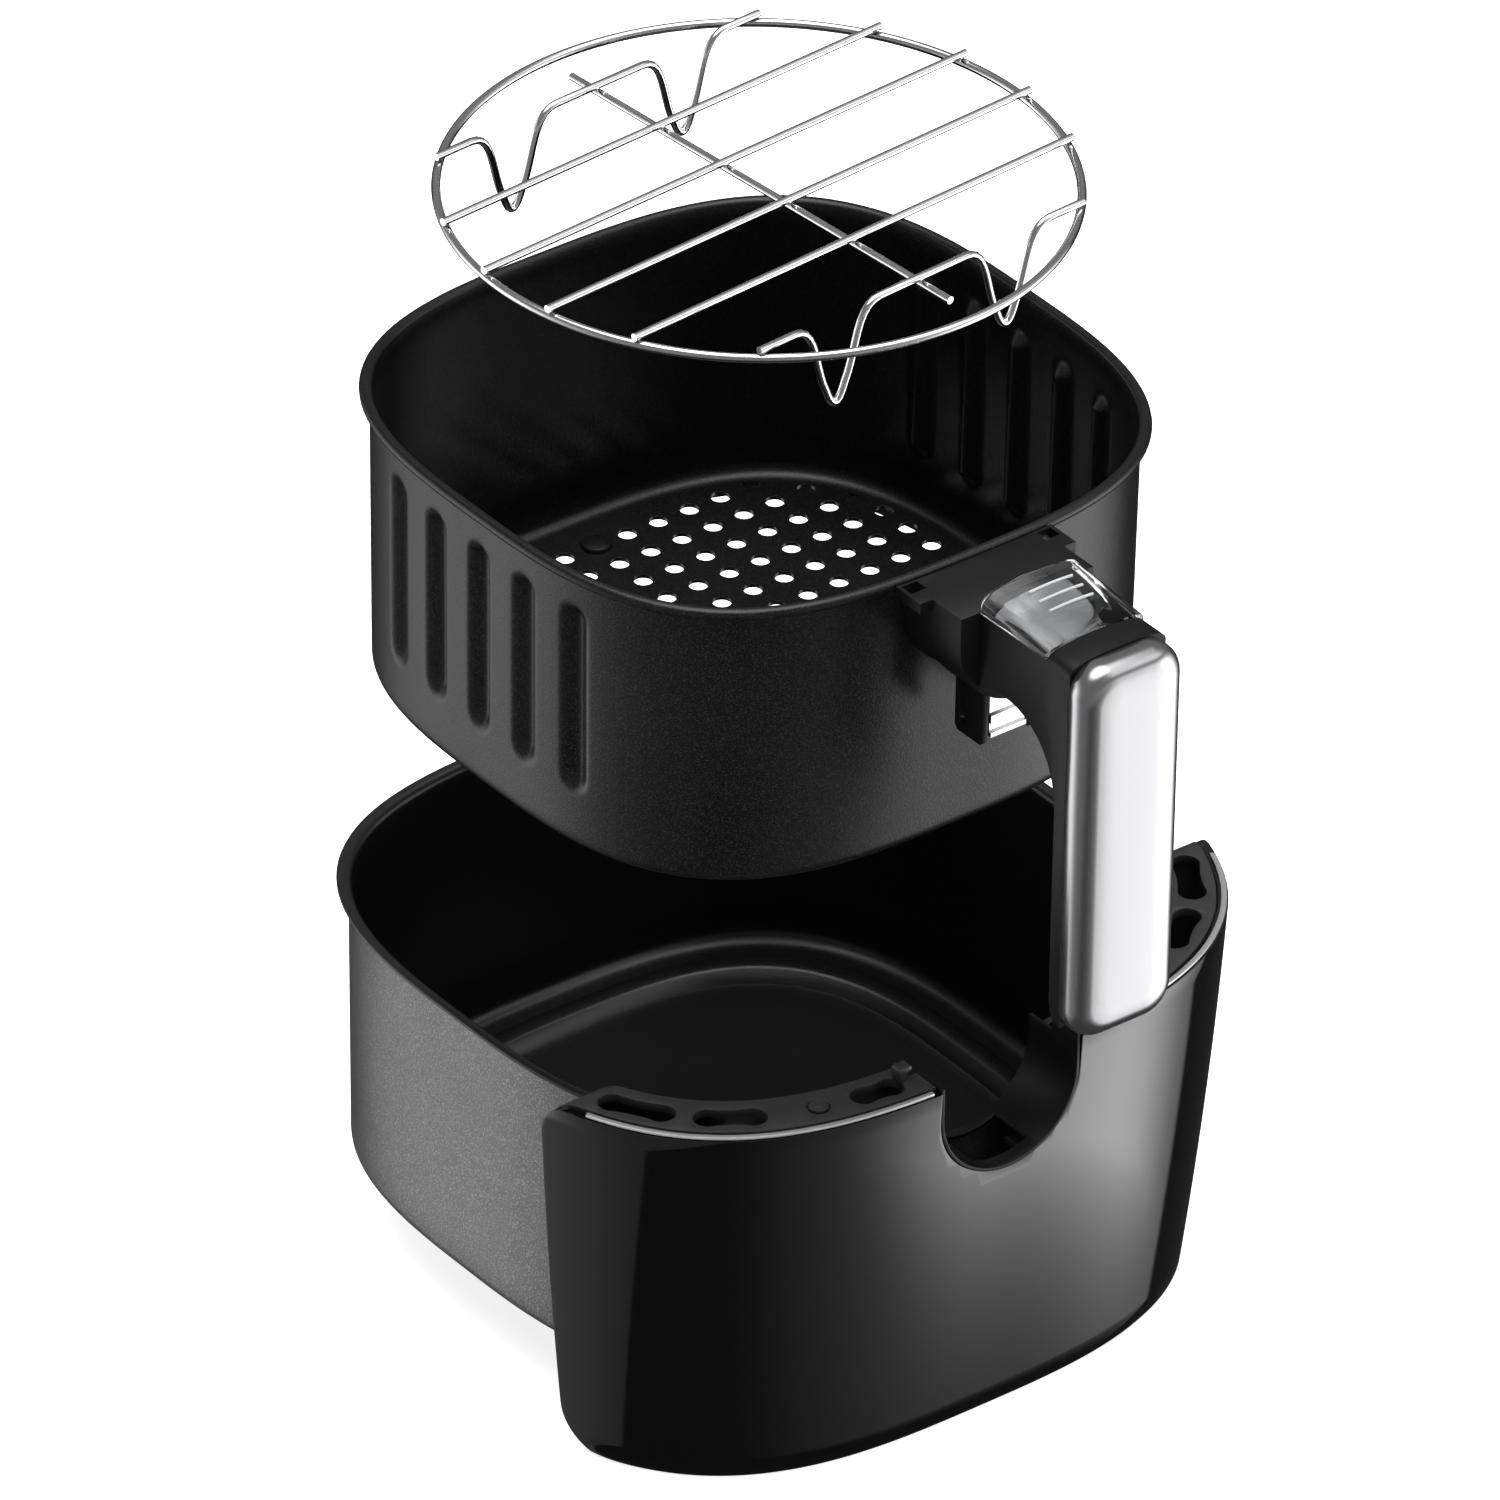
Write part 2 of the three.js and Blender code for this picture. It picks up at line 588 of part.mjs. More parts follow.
// A solid rounded-square post with the basket's outer size, as a tool to cut with.
function vesselCore(half, power) {
  return vessel([[0, -140], [half, -140], [half, -3.6], [half + 3.4, -3.5], [half + 3.4, 30], [0, 30]], power);
}

// The arm that reaches forward and turns down into the core of the grip.
function handleArm() {
  const a = ARM;
  const back = BRACKET.front - GAP;
  const side = new THREE.Shape();
  side.moveTo(back, a.top);
  side.lineTo(back, -26);
  side.quadraticCurveTo(-150, -21.5, -160, -24);
  side.bezierCurveTo(-172, -28, a.gripBack, -38, a.gripBack, -54);
  side.lineTo(a.gripBack, a.gripBottom + 8);
  side.quadraticCurveTo(a.gripBack, a.gripBottom + 1, a.front, a.gripBottom);
  side.lineTo(a.front, a.top);
  side.closePath();
  const band = alongY(archShape(a.half, a.top - 3, a.bandTop), a.front, a.bandBack, 8);
  const well = block(-WELL.half, WELL.half, WELL.front, WELL.back, WELL.floor, 30);
  const channel = block(-5, 5, LEVER.pivotY - LEVER.reach - 4, back + 5, -20.6, -12);
  const stemHole = block(-4, 4, BUTTON.stemY - 4, BUTTON.stemY + 4, -16, WELL.floor + 1);
  const screws = GRIP_SCREW_HEIGHTS.flatMap((z) => [
    rod('y', SCREW.shankRadius + GAP, -220, -150, 0, z, 12),
    rod('y', SCREW.headRadius + GAP, a.gripBack - 2, -150, 0, z, 12)]);
  return cut(join(alongX(side, a.half, 10), band), well, channel, stemHole, ...screws);
}
const GRIP_SCREW_HEIGHTS = [-72, -112];

// An arched outline in X and Z, flat below and crowned above.
function archShape(half, low, crown) {
  const shape = new THREE.Shape();
  const shoulder = low + 0.4 * (crown - low);
  const brow = crown - 0.1 * (crown - low);
  shape.moveTo(-half, low);
  shape.lineTo(half, low);
  shape.lineTo(half, shoulder);
  shape.quadraticCurveTo(half - 0.6, brow - 0.4, half - 8, brow);
  shape.quadraticCurveTo(0, 2 * crown - brow, -half + 8, brow);
  shape.quadraticCurveTo(-half + 0.6, brow - 0.4, -half, shoulder);
  shape.closePath();
  return shape;
}

// A rounded rectangle in X and Z.
function roundedPlate(half, low, high, corner) {
  const shape = new THREE.Shape();
  shape.absarc(half - corner, high - corner, corner, 0, Math.PI / 2, false);
  shape.absarc(corner - half, high - corner, corner, Math.PI / 2, Math.PI, false);
  shape.absarc(corner - half, low + corner, corner, Math.PI, Math.PI * 1.5, false);
  shape.absarc(half - corner, low + corner, corner, Math.PI * 1.5, Math.PI * 2, false);
  shape.closePath();
  return shape;
}

// The metallic cover on the front of the grip.
function gripCover() {
  const c = COVER;
  const back = ARM.front - GAP;
  const size = c.chamfer;
  const geometry = new THREE.ExtrudeGeometry(
    roundedPlate(c.half - size, c.bottom + size, c.top - size, c.corner - size),
    { depth: 0.1, bevelEnabled: true, bevelThickness: size, bevelSize: size, bevelSegments: 3, curveSegments: 5 },
  );
  geometry.rotateX(Math.PI / 2);
  geometry.translate(0, back - c.depth + size + 0.1, 0);
  const crown = solid(geometry);
  const front = block(-40, 40, back - c.depth - 1, back - c.depth + size + 0.05, -200, 60);
  const body = alongY(roundedPlate(c.half, c.bottom, c.top, c.corner), back - c.depth + size, back, 5);
  const pocket = alongY(roundedPlate(c.half - 3, c.bottom + 3, c.top - 3, c.corner - 3), back - 6, back + 2, 4);
  const posts = GRIP_SCREW_HEIGHTS.map((z) => cut(
    rod('y', 4, back - 7, back - 0.4, 0, z, 12), rod('y', SCREW.shankRadius + GAP, back - 5, back + 2, 0, z, 12),
  ));
  return join(cut(join(body, crown.intersect(front)), pocket), ...posts);
}

function gripScrew(z) {
  const head = rod('y', SCREW.headRadius, ARM.gripBack - 1.8, ARM.gripBack - 0.2, 0, z, 12);
  const shank = rod('y', SCREW.shankRadius, ARM.front - 4.6, ARM.gripBack - 1.5, 0, z, 12);
  return join(head, shank);
}

// The clear guard that slides back over the bracket to free the release button.
function buttonGuard() {
  const g = GUARD;
  const outer = loft(
    archShape(g.half, g.edge, g.frontCrown), g.front, archShape(g.half, g.edge, g.backCrown), g.back, 6,
  );
  const t = g.sheet;
  const inner = loft(
    archShape(g.half - t, g.edge - 2, g.frontCrown - t), g.front - 0.5,
    archShape(g.half - t, g.edge - 2, g.backCrown - t), g.back + 0.5, 6,
  );
  const ridges = [-149, -155, -161].map((y) => {
    const crown = g.frontCrown + ((g.backCrown - g.frontCrown) * (y - g.front)) / (g.back - g.front);
    return block(-9, 9, y - 0.5, y + 0.5, crown - 1, crown + 0.7);
  });
  return join(cut(outer, inner), ...ridges);
}

function releaseButton() {
  const half = WELL.half - GAP;
  const cap = alongY(archShape(half, BUTTON.bottom, BUTTON.crown), WELL.front + GAP, WELL.back - GAP, 6);
  const y = BUTTON.stemY;
  return join(cap, block(-3.6, 3.6, y - 3.6, y + 3.6, -13.4, BUTTON.bottom + 1));
}

// A helix about an axis along X or Z.
class Helix extends THREE.Curve {
  constructor(place, radius, pitch, turns, upright) {
    super();
    Object.assign(this, { place, radius, pitch, turns, upright });
  }

  getPoint(t) {
    const a = t * this.turns * 2 * Math.PI;
    const u = this.radius * Math.cos(a);
    const v = this.radius * Math.sin(a);
    const rise = t * this.turns * this.pitch;
    const [x, y, z] = this.place;
    return this.upright ? new THREE.Vector3(x + u, y + v, z + rise) : new THREE.Vector3(x + rise, y + u, z + v);
  }
}

// The compression spring round the button's stem.
const buttonSpring = () => wireAlong(
  new Helix([0, BUTTON.stemY, WELL.floor + 0.8], 5.8, 1.7, 4, true), 0.4, 40, 5,
);

// A round wire along a curve.
function wireAlong(curve, radius, steps, sides) {
  const shape = new THREE.Shape();
  for (let i = 0; i < sides; i += 1) {
    const a = (i / sides) * 2 * Math.PI;
    const point = [radius * Math.cos(a), radius * Math.sin(a)];
    if (i === 0) shape.moveTo(...point);
    else shape.lineTo(...point);
  }
  shape.closePath();
  return solid(new THREE.ExtrudeGeometry(shape, { steps, bevelEnabled: false, extrudePath: curve }));
}

// The steel lever: one arm under the button, one foot through the cradle's slot.
function latchLever() {
  const l = LEVER;
  const y = l.pivotY;
  const hub = rod('x', 3.4, -4.4, 4.4, y, l.pivotZ, 14);
  const arm = block(-3.4, 3.4, y - l.reach, y, l.pivotZ - 1, l.pivotZ + 1);
  const neck = block(-4.4, 4.4, y - l.sheet / 2, y + l.sheet / 2, -26, l.pivotZ);
  const leg = block(-l.half, l.half, y - l.sheet / 2, y + l.sheet / 2, l.foot, -22);
  const tooth = block(-l.half, l.half, y - 1.9, y, l.foot + 5, l.foot + 8);
  const lip = block(-l.half, l.half, y - 1.9, y, l.foot, l.foot + 1.6);
  return cut(join(hub, arm, neck, leg, tooth, lip), rod('x', 1.5 + GAP, -9, 9, y, l.pivotZ, 12));
}

const latchPin = () => rod('x', 1.5, -11.5, 11.5, LEVER.pivotY, LEVER.pivotZ, 12);

// The torsion spring on the pin that holds the lever's foot forward.
const latchSpring = () => wireAlong(
  new Helix([5, LEVER.pivotY, LEVER.pivotZ], 2.7, 0.9, 2.5, false), 0.35, 25, 5,
);

function bracketRivet(side) {
  const wall = -BASKET.wallHalf + BASKET.sheet;
  const head = rod('y', 4, wall + GAP + 0.2, wall + GAP + 1.6, side * 11, -16, 12);
  const shank = rod('y', 2, -112.6, wall + GAP + 0.6, side * 11, -16, 10);
  return join(head, shank);
}

// ---- rack ----
function rackRing() {
  return solid(new THREE.TorusGeometry(RACK.ringRadius, RACK.ringWire, 6, 56));
}

const wireHeight = RACK.ringWire + RACK.wire + GAP;

function rackWire(y) {
  const half = Math.sqrt(RACK.ringRadius ** 2 - y ** 2) + 1.5;
  return rod('x', RACK.wire, -half, half, y, wireHeight, 8);
}

// An outer wire with a V-shaped leg near each end.
function rackLegWire(y) {
  const half = Math.sqrt(RACK.ringRadius ** 2 - y ** 2) + 1;
  const path = new THREE.CurvePath();
  const s = RACK.legSpread;
  const w = RACK.legHalf;
  const low = -RACK.legHeight;
  const point = (x, z) => new THREE.Vector3(x, y, z);
  const top = wireHeight;
  const leg = (x, way) => {
    const a = point(x - way * w, top);
    const b = point(x - way * 4, low + 6);
    const c = point(x + way * 4, low + 6);
    const d = point(x + way * w, top);
    path.add(new THREE.CubicBezierCurve3(a, point(x - way * (w - 10), top), point(x - way * 9, low + 16), b));
    path.add(new THREE.QuadraticBezierCurve3(b, point(x - way * 2, low), point(x, low)));
    path.add(new THREE.QuadraticBezierCurve3(point(x, low), point(x + way * 2, low), c));
    path.add(new THREE.CubicBezierCurve3(c, point(x + way * 9, low + 16), point(x + way * (w - 10), top), d));
  };
  path.add(new THREE.LineCurve3(point(-half, top), point(-s - w, top)));
  leg(-s, 1);
  path.add(new THREE.LineCurve3(point(-s + w, top), point(s - w, top)));
  leg(s, 1);
  path.add(new THREE.LineCurve3(point(s + w, top), point(half, top)));
  return wireAlong(path, RACK.wire, 48, 6);
}

const rackCrossWire = () => rod(
  'y', RACK.wire, -RACK.crossHalf, RACK.crossHalf, 0, wireHeight - 2 * RACK.wire - GAP, 8,
);

// ---- assembly ----
piece('pan_body', panBody(), COATED_GREY);
piece('front_panel', frontPanel(), GLOSS_BLACK);
piece('panel_frame', panelFrame(), FRAME_GREY);
piece('handle_cradle', cradle(), MATT_BLACK);
piece('latch_catch', latchCatch(), STEEL);
for (const [side, word] of [[-1, 'left'], [1, 'right']]) {
  piece(`panel_trim_${word}`, panelTrim(side), SILVER);
  piece(`cradle_clip_${word}`, cradleClip(side), FRAME_GREY);
  piece(`pan_strap_${word}`, panStrap(side), STEEL);
  piece(`panel_screw_${word}`, screwAt(...screwPlace(side), FRAME.top - 1.6 + GAP + SCREW.headHeight), STEEL);
}

const basket = new THREE.Group();
basket.position.z = BASKET.lift;
drawer.add(basket);
piece('basket_body', basketBody(), COATED_BLACK, basket);
piece('handle_bracket', handleBracket(), MATT_BLACK, basket);
piece('handle_arm', handleArm(), MATT_BLACK, basket);
piece('grip_cover', gripCover(), SILVER, basket);
GRIP_SCREW_HEIGHTS.forEach((z, i) => piece(`grip_screw_${i + 1}`, gripScrew(z), STEEL, basket));
piece('button_guard', buttonGuard(), CLEAR, basket);
piece('release_button', releaseButton(), SILVER, basket);
piece('button_spring', buttonSpring(), STEEL, basket);
piece('latch_lever', latchLever(), CHROME, basket);
piece('latch_pin', latchPin(), STEEL, basket);
piece('latch_spring', latchSpring(), STEEL, basket);
piece('bracket_rivet_left', bracketRivet(-1), STEEL, basket);
piece('bracket_rivet_right', bracketRivet(1), STEEL, basket);

const rack = new THREE.Group();
rack.position.z = BASKET.lift + RACK.rise;
rack.rotation.z = (RACK.turn * Math.PI) / 180;
drawer.add(rack);
piece('rack_ring', rackRing(), CHROME, rack);
RACK.wireOffsets.forEach((y, i) => piece(`rack_wire_${i + 1}`, rackWire(y), CHROME, rack));
piece('rack_leg_wire_back', rackLegWire(RACK.legOffset), CHROME, rack);
piece('rack_leg_wire_front', rackLegWire(-RACK.legOffset), CHROME, rack);
piece('rack_cross_wire', rackCrossWire(), CHROME, rack);

export default drawer;
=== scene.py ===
"""Looks for an air fryer's drawer set: pan with gloss front, basket with handle, wire rack."""

from __future__ import annotations

import logging
import math
from dataclasses import dataclass
from enum import Enum
from typing import Iterable, Sequence

import bmesh
import bpy
from mathutils import Matrix, Vector


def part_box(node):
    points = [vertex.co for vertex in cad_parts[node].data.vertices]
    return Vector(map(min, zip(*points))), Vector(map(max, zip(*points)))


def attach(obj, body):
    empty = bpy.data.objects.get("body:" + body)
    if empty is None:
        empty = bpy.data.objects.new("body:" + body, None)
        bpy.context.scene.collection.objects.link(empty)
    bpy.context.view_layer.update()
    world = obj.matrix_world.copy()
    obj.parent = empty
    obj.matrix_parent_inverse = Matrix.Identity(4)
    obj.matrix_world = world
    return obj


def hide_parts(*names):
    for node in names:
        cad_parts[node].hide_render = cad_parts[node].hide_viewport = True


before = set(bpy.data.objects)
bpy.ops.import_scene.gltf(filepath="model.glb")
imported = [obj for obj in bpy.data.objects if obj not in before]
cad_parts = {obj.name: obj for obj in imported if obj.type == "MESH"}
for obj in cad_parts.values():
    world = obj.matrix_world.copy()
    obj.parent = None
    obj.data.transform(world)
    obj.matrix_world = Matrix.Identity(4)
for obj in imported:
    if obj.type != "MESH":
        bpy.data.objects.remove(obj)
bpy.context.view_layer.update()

LOG = logging.getLogger("drawer_set")
MM = 0.001
SIDES = ((-1, "left"), (1, "right"))

Point2 = tuple[float, float]
Point3 = tuple[float, float, float]
Section = Sequence[Point3]
Thing = bpy.types.Object
Corners = tuple[Point2, Point2, Point2]


class Body(str, Enum):
    """The moving bodies of the drawer set."""

    DRAWER = "drawer"
    BASKET = "basket"
    GUARD = "guard"
    BUTTON = "button"
    RACK = "rack"


class Slot(str, Enum):
    """The record's material slots."""

    PAN = "pan_coating"
    BASKET = "basket_coating"
    GLOSS = "panel_gloss"
    FRAME = "frame_plastic"
    HANDLE = "handle_plastic"
    COVER = "silver_cover"
    TRIM = "silver_trim"
    CLEAR = "clear_plastic"
    WIRE = "chromed_wire"
    LEVER = "chromed_steel"
    STEEL = "plain_steel"


# ---------------------------------------------------------------- shader maths
class Value:
    """A shader socket that takes part in Python expressions."""

    def __init__(self, nodes: Nodes, socket: bpy.types.NodeSocket) -> None:
        """Wraps one output socket of a node tree."""
        self.nodes = nodes
        self.socket = socket

    def math(self, operation: str, *others: Value | float, first: bool = True) -> Value:
        """Adds a Math node.

        Args:
            operation: the Math node's operation.
            others: its other operands.
            first: whether this value is the first operand.

        Returns:
            The node's result.
        """
        operands = [self, *others] if first else [*others, self]
        return self.nodes.value("ShaderNodeMath", {"operation": operation}, dict(enumerate(operands)))

    def __add__(self, other: Value | float) -> Value:
        """self + other."""
        return self.math("ADD", other)

    def __radd__(self, other: float) -> Value:
        """other + self."""
        return self.math("ADD", other)

    def __sub__(self, other: Value | float) -> Value:
        """self - other."""
        return self.math("SUBTRACT", other)

    def __rsub__(self, other: float) -> Value:
        """other - self."""
        return self.math("SUBTRACT", other, first=False)

    def __mul__(self, other: Value | float) -> Value:
        """self * other."""
        return self.math("MULTIPLY", other)

    def __rmul__(self, other: float) -> Value:
        """other * self."""
        return self.math("MULTIPLY", other)

    def __pow__(self, other: Value | float) -> Value:
        """self ** other."""
        return self.math("POWER", other)

    def bell(self, center: float, width: float) -> Value:
        """A Gaussian that is 1 at its centre."""
        away = (self - center) * (1 / width)
        return (away * away * -1.0).math("EXPONENT")

    def step(self, low: float, high: float) -> Value:
        """A smooth step from 0 at low to 1 at high, or down where high is lower.

        Args:
            low: where it is 0.
            high: where it is 1.

        Returns:
            The step.
        """
        if high < low:
            return 1.0 - self.step(high, low)
        settings = {"interpolation_type": "SMOOTHSTEP"}
        sockets = {"Value": self, "From Min": low, "From Max": high, "To Min": 0.0, "To Max": 1.0}
        return self.nodes.value("ShaderNodeMapRange", settings, sockets, "Result")


class Nodes:
    """A node tree under construction."""

    def __init__(self, tree: bpy.types.NodeTree) -> None:
        """Empties the tree and keeps it."""
        self.tree = tree
        tree.nodes.clear()

    def add(self, kind: str, settings: dict | None = None, sockets: dict | None = None) -> bpy.types.Node:
        """Adds any node.

        Args:
            kind: the node's type.
            settings: its properties, set first.
            sockets: values or links of its inputs, by name or index.

        Returns:
            The new node.
        """
        node = self.tree.nodes.new(kind)
        for key, setting in (settings or {}).items():
            setattr(node, key, setting)
        for key, given in (sockets or {}).items():
            socket = node.inputs[key]
            if isinstance(given, Value):
                self.tree.links.new(given.socket, socket)
            else:
                socket.default_value = given
        return node

    def value(
        self, kind: str, settings: dict | None = None, sockets: dict | None = None, output: str | int = 0
    ) -> Value:
        """Adds any node and gives one of its outputs as a value."""
        return Value(self, self.add(kind, settings, sockets).outputs[output])

    def object_coordinates(self) -> Value:
        """The piece's own coordinates, in metres."""
        return self.value("ShaderNodeTexCoord", output="Object")

    def noise(self, scale: float, detail: float = 2.0, roughness: float = 0.5) -> Value:
        """Noise over the piece, from 0 to 1.

        Args:
            scale: features to the metre.
            detail: how many finer layers it has.
            roughness: how strong those are.

        Returns:
            The noise.
        """
        sockets = {
            "Vector": self.object_coordinates(), "Scale": scale, "Detail": detail, "Roughness": roughness,
        }
        return self.value("ShaderNodeTexNoise", {"noise_dimensions": "3D"}, sockets, "Fac")

    def mix(
        self, share: Value, low: tuple[float, ...], high: Value | tuple[float, ...]
    ) -> Value:
        """A colour between two.

        Args:
            share: how far it is towards the second.
            low: the first colour.
            high: the second colour, plain or worked out.

        Returns:
            The mixed colour.
        """
        second = high if isinstance(high, Value) else (*high, 1.0)
        sockets = {0: share, 6: (*low, 1.0), 7: second}
        return self.value("ShaderNodeMix", {"data_type": "RGBA"}, sockets, 2)

    def bump(self, height: Value, depth: float, strength: float = 1.0) -> Value:
        """A normal from a height of this depth in metres."""
        return self.value(
            "ShaderNodeBump", None, {"Strength": strength, "Distance": depth, "Height": height}, "Normal",
        )


@dataclass(frozen=True)
class PaintedInnerShade:
    """Painted shade: a darker tone inside a tapered rounded-square vessel and on its rim, in metres."""

    wall_half: float
    slope: float
    top: float
    tone: tuple[float, float, float]

    def mask(self, nodes: Nodes) -> Value:
        """1 on the outside of the wall and 0 on the rim and inside, where the shade is painted.

        Args:
            nodes: the material's nodes.

        Returns:
            The mask.
        """
        place = nodes.add("ShaderNodeSeparateXYZ", None, {0: nodes.object_coordinates()})
        x, y, z = (Value(nodes, socket) for socket in place.outputs)
        across, along = x.math("ABSOLUTE"), y.math("ABSOLUTE")
        reach = (across ** 3.0 + along ** 3.0) ** (1 / 3) + (self.top - z) * self.slope
        outside = reach.step(self.wall_half - 0.0007, self.wall_half - 0.0005)
        return outside * z.step(self.top, self.top - 0.0006)


@dataclass(frozen=True)
class Finish:
    """One surface finish: fine grain over a slow mottle, with a grain in the surface.

    The grain is the spray's or the mould's texture, and the mottle what handling leaves.
    """

    name: str
    dark: tuple[float, float, float]
    light: tuple[float, float, float]
    roughness: float
    spread: float = 0.06
    metallic: float = 0.0
    grain: float = 2500.0
    grain_depth: float = 0.00002
    mottle: float = 28.0
    coat: float = 0.0
    ior: float = 1.5
    transmission: float = 0.0
    brushed: float = 0.0
    painted_inner_shade: PaintedInnerShade | None = None

    def build(self) -> bpy.types.Material:
        """Makes the material.

        Returns:
            The material.
        """
        material = bpy.data.materials.new(self.name)
        material.use_nodes = True
        nodes = Nodes(material.node_tree)
        grain = nodes.noise(self.grain, 2.0, 0.55)
        mottle = nodes.noise(self.mottle, 3.0, 0.6)
        flecks = grain.step(0.46, 0.72)
        share = flecks * 0.7 + mottle * 0.3
        roughness = self.roughness + (mottle - 0.5) * (2 * self.spread) + (grain - 0.5) * self.spread
        height = grain
        if self.brushed:
            stretched = nodes.value("ShaderNodeMapping", None, {
                "Vector": nodes.object_coordinates(), "Scale": (1.0, 1.0, self.brushed),
            })
            height = nodes.value("ShaderNodeTexNoise", None, {
                "Vector": stretched, "Scale": self.grain, "Detail": 3.0,
            }, "Fac")
        color = nodes.mix(share, self.dark, self.light)
        metallic = self.metallic
        # Painted shade: the inside and rim take the darker tone and lose the metal.
        if self.painted_inner_shade:
            mask = self.painted_inner_shade.mask(nodes)
            color = nodes.mix(mask, self.painted_inner_shade.tone, color)
            metallic = mask * self.metallic
        shader = nodes.add("ShaderNodeBsdfPrincipled", None, {
            "Base Color": color,
            "Roughness": roughness,
            "Metallic": metallic,
            "Normal": nodes.bump(height, self.grain_depth),
            "Coat Weight": self.coat,
            "Coat Roughness": 0.03,
            "IOR": self.ior,
            "Transmission Weight": self.transmission,
        })
        out = nodes.add("ShaderNodeOutputMaterial")
        nodes.tree.links.new(shader.outputs[0], out.inputs[0])
        return material


FINISHES: dict[Slot, Finish] = {
    # The pan's inside and flange carry painted shade, a darker tone where they look dark.
    Slot.PAN: Finish("satin_grey_coating", (0.06, 0.0605, 0.062), (0.23, 0.231, 0.235), 0.30, 0.04,
                     metallic=0.6, grain=1500, grain_depth=0.00005, mottle=22,
                     painted_inner_shade=PaintedInnerShade(0.115, 0.0104, 0.1008, (0.008, 0.008, 0.0083))),
    Slot.BASKET: Finish("satin_black_coating", (0.002, 0.002, 0.0022), (0.022, 0.022, 0.023), 0.32, 0.04,
                        metallic=0.35, grain=1500, grain_depth=0.00006, mottle=22),
    Slot.GLOSS: Finish("gloss_black", (0.0012, 0.0012, 0.0014), (0.0022, 0.0022, 0.0024), 0.035, 0.008,
                       grain=900, grain_depth=0.0000004, mottle=14, coat=0.3),
    Slot.FRAME: Finish("moulded_grey", (0.018, 0.0185, 0.019), (0.04, 0.0405, 0.042), 0.45, 0.06,
                       grain=3200, grain_depth=0.00003, mottle=40),
    Slot.HANDLE: Finish("moulded_black", (0.0022, 0.0022, 0.0024), (0.006, 0.006, 0.0065), 0.42, 0.06,
                        grain=3200, grain_depth=0.00003, mottle=40, ior=1.33),
    Slot.COVER: Finish("satin_silver", (0.34, 0.34, 0.346), (0.45, 0.45, 0.456), 0.21, 0.03,
                       metallic=0.95, grain=4200, grain_depth=0.000012, mottle=18),
    Slot.TRIM: Finish("satin_silver_trim", (0.50, 0.50, 0.51), (0.64, 0.64, 0.65), 0.25, 0.03,
                      metallic=0.6, grain=3800, grain_depth=0.000006, mottle=25),
    Slot.CLEAR: Finish("clear_plastic", (0.93, 0.94, 0.95), (0.99, 0.99, 0.99), 0.03, 0.01,
                       grain=700, grain_depth=0.000001, ior=1.46, transmission=1.0),
    Slot.WIRE: Finish("chromed_wire", (0.62, 0.62, 0.63), (0.80, 0.80, 0.81), 0.13, 0.04,
                      metallic=1.0, grain=1500, grain_depth=0.000008, mottle=60),
    Slot.LEVER: Finish("chromed_steel", (0.60, 0.60, 0.61), (0.78, 0.78, 0.79), 0.16, 0.04,
                       metallic=1.0, grain=1800, grain_depth=0.000006, mottle=60),
    Slot.STEEL: Finish("plain_steel", (0.32, 0.32, 0.33), (0.5, 0.5, 0.51), 0.32, 0.06,
                       metallic=1.0, grain=1600, grain_depth=0.00001, mottle=80, brushed=0.1),
}


FROSTED = Finish("frosted_plastic", (0.80, 0.81, 0.82), (0.95, 0.95, 0.95), 0.35, 0.04,
                 grain=2000, grain_depth=0.00001, ior=1.46, transmission=0.3)


class Palette:
    """Makes each finish once."""

    def __init__(self) -> None:
        """Builds every finish."""
        self.made = {slot: finish.build() for slot, finish in FINISHES.items()}
        self.frosted = FROSTED.build()

    def __getitem__(self, slot: Slot) -> bpy.types.Material:
        """The material of a slot."""
        return self.made[slot]


# ---------------------------------------------------------------- outlines
def clamp(share: float) -> float:
    """The share, held between 0 and 1."""
    return min(max(share, 0), 1)


def eased(share: float) -> float:
    """A share with a soft start and end."""
    return share * share * (3 - 2 * share)


def superellipse(angle: float, half_x: float, half_y: float, power: float) -> Point2:
    """A point on a rounded square.

    Args:
        angle: in radians, 0 at -Y and growing towards +X.
        half_x: half its width.
        half_y: half its depth.
        power: how square it is, 2 for an ellipse.

    Returns:
        The point.
    """
    s, c = math.sin(angle), math.cos(angle)
    reach = (abs(s / half_x) ** power + abs(c / half_y) ** power) ** (-1 / power)
    return reach * s, -reach * c


def arc(x: float, y: float, radius: float, start: float, end: float, steps: int = 10) -> list[Point2]:
    """Points on an arc, angles in degrees."""
    turn = [math.radians(start + (end - start) * i / steps) for i in range(steps + 1)]
    return [(x + radius * math.cos(a), y + radius * math.sin(a)) for a in turn]


def bezier(points: Sequence[Point2], steps: int = 12) -> list[Point2]:
    """Points on a Bezier curve with any number of control points, its start left out.

    Args:
        points: the control points.
        steps: how many points it gives.

    Returns:
        The curve's points.
    """
    found = []
    for i in range(1, steps + 1):
        level, t = list(points), i / steps
        while len(level) > 1:
            level = [
                (a[0] + (b[0] - a[0]) * t, a[1] + (b[1] - a[1]) * t) for a, b in zip(level, level[1:])
            ]
        found.append(level[0])
    return found


def u_outline(radius: float, top: float, center: float) -> list[Point2]:
    """A U that is open at the top and closed there by a straight line."""
    return [(-radius, top), *arc(0, center, radius, 180, 360, 40), (radius, top)]


def rounded_plate(half: float, low: float, high: float, corner: float, steps: int = 10) -> list[Point2]:
    """A rectangle with round corners, anticlockwise from its right side."""
    right, left = half - corner, corner - half
    return [
        *arc(right, high - corner, corner, 0, 90, steps),
        *arc(left, high - corner, corner, 90, 180, steps),
        *arc(left, low + corner, corner, 180, 270, steps),
        *arc(right, low + corner, corner, 270, 360, steps),
    ]


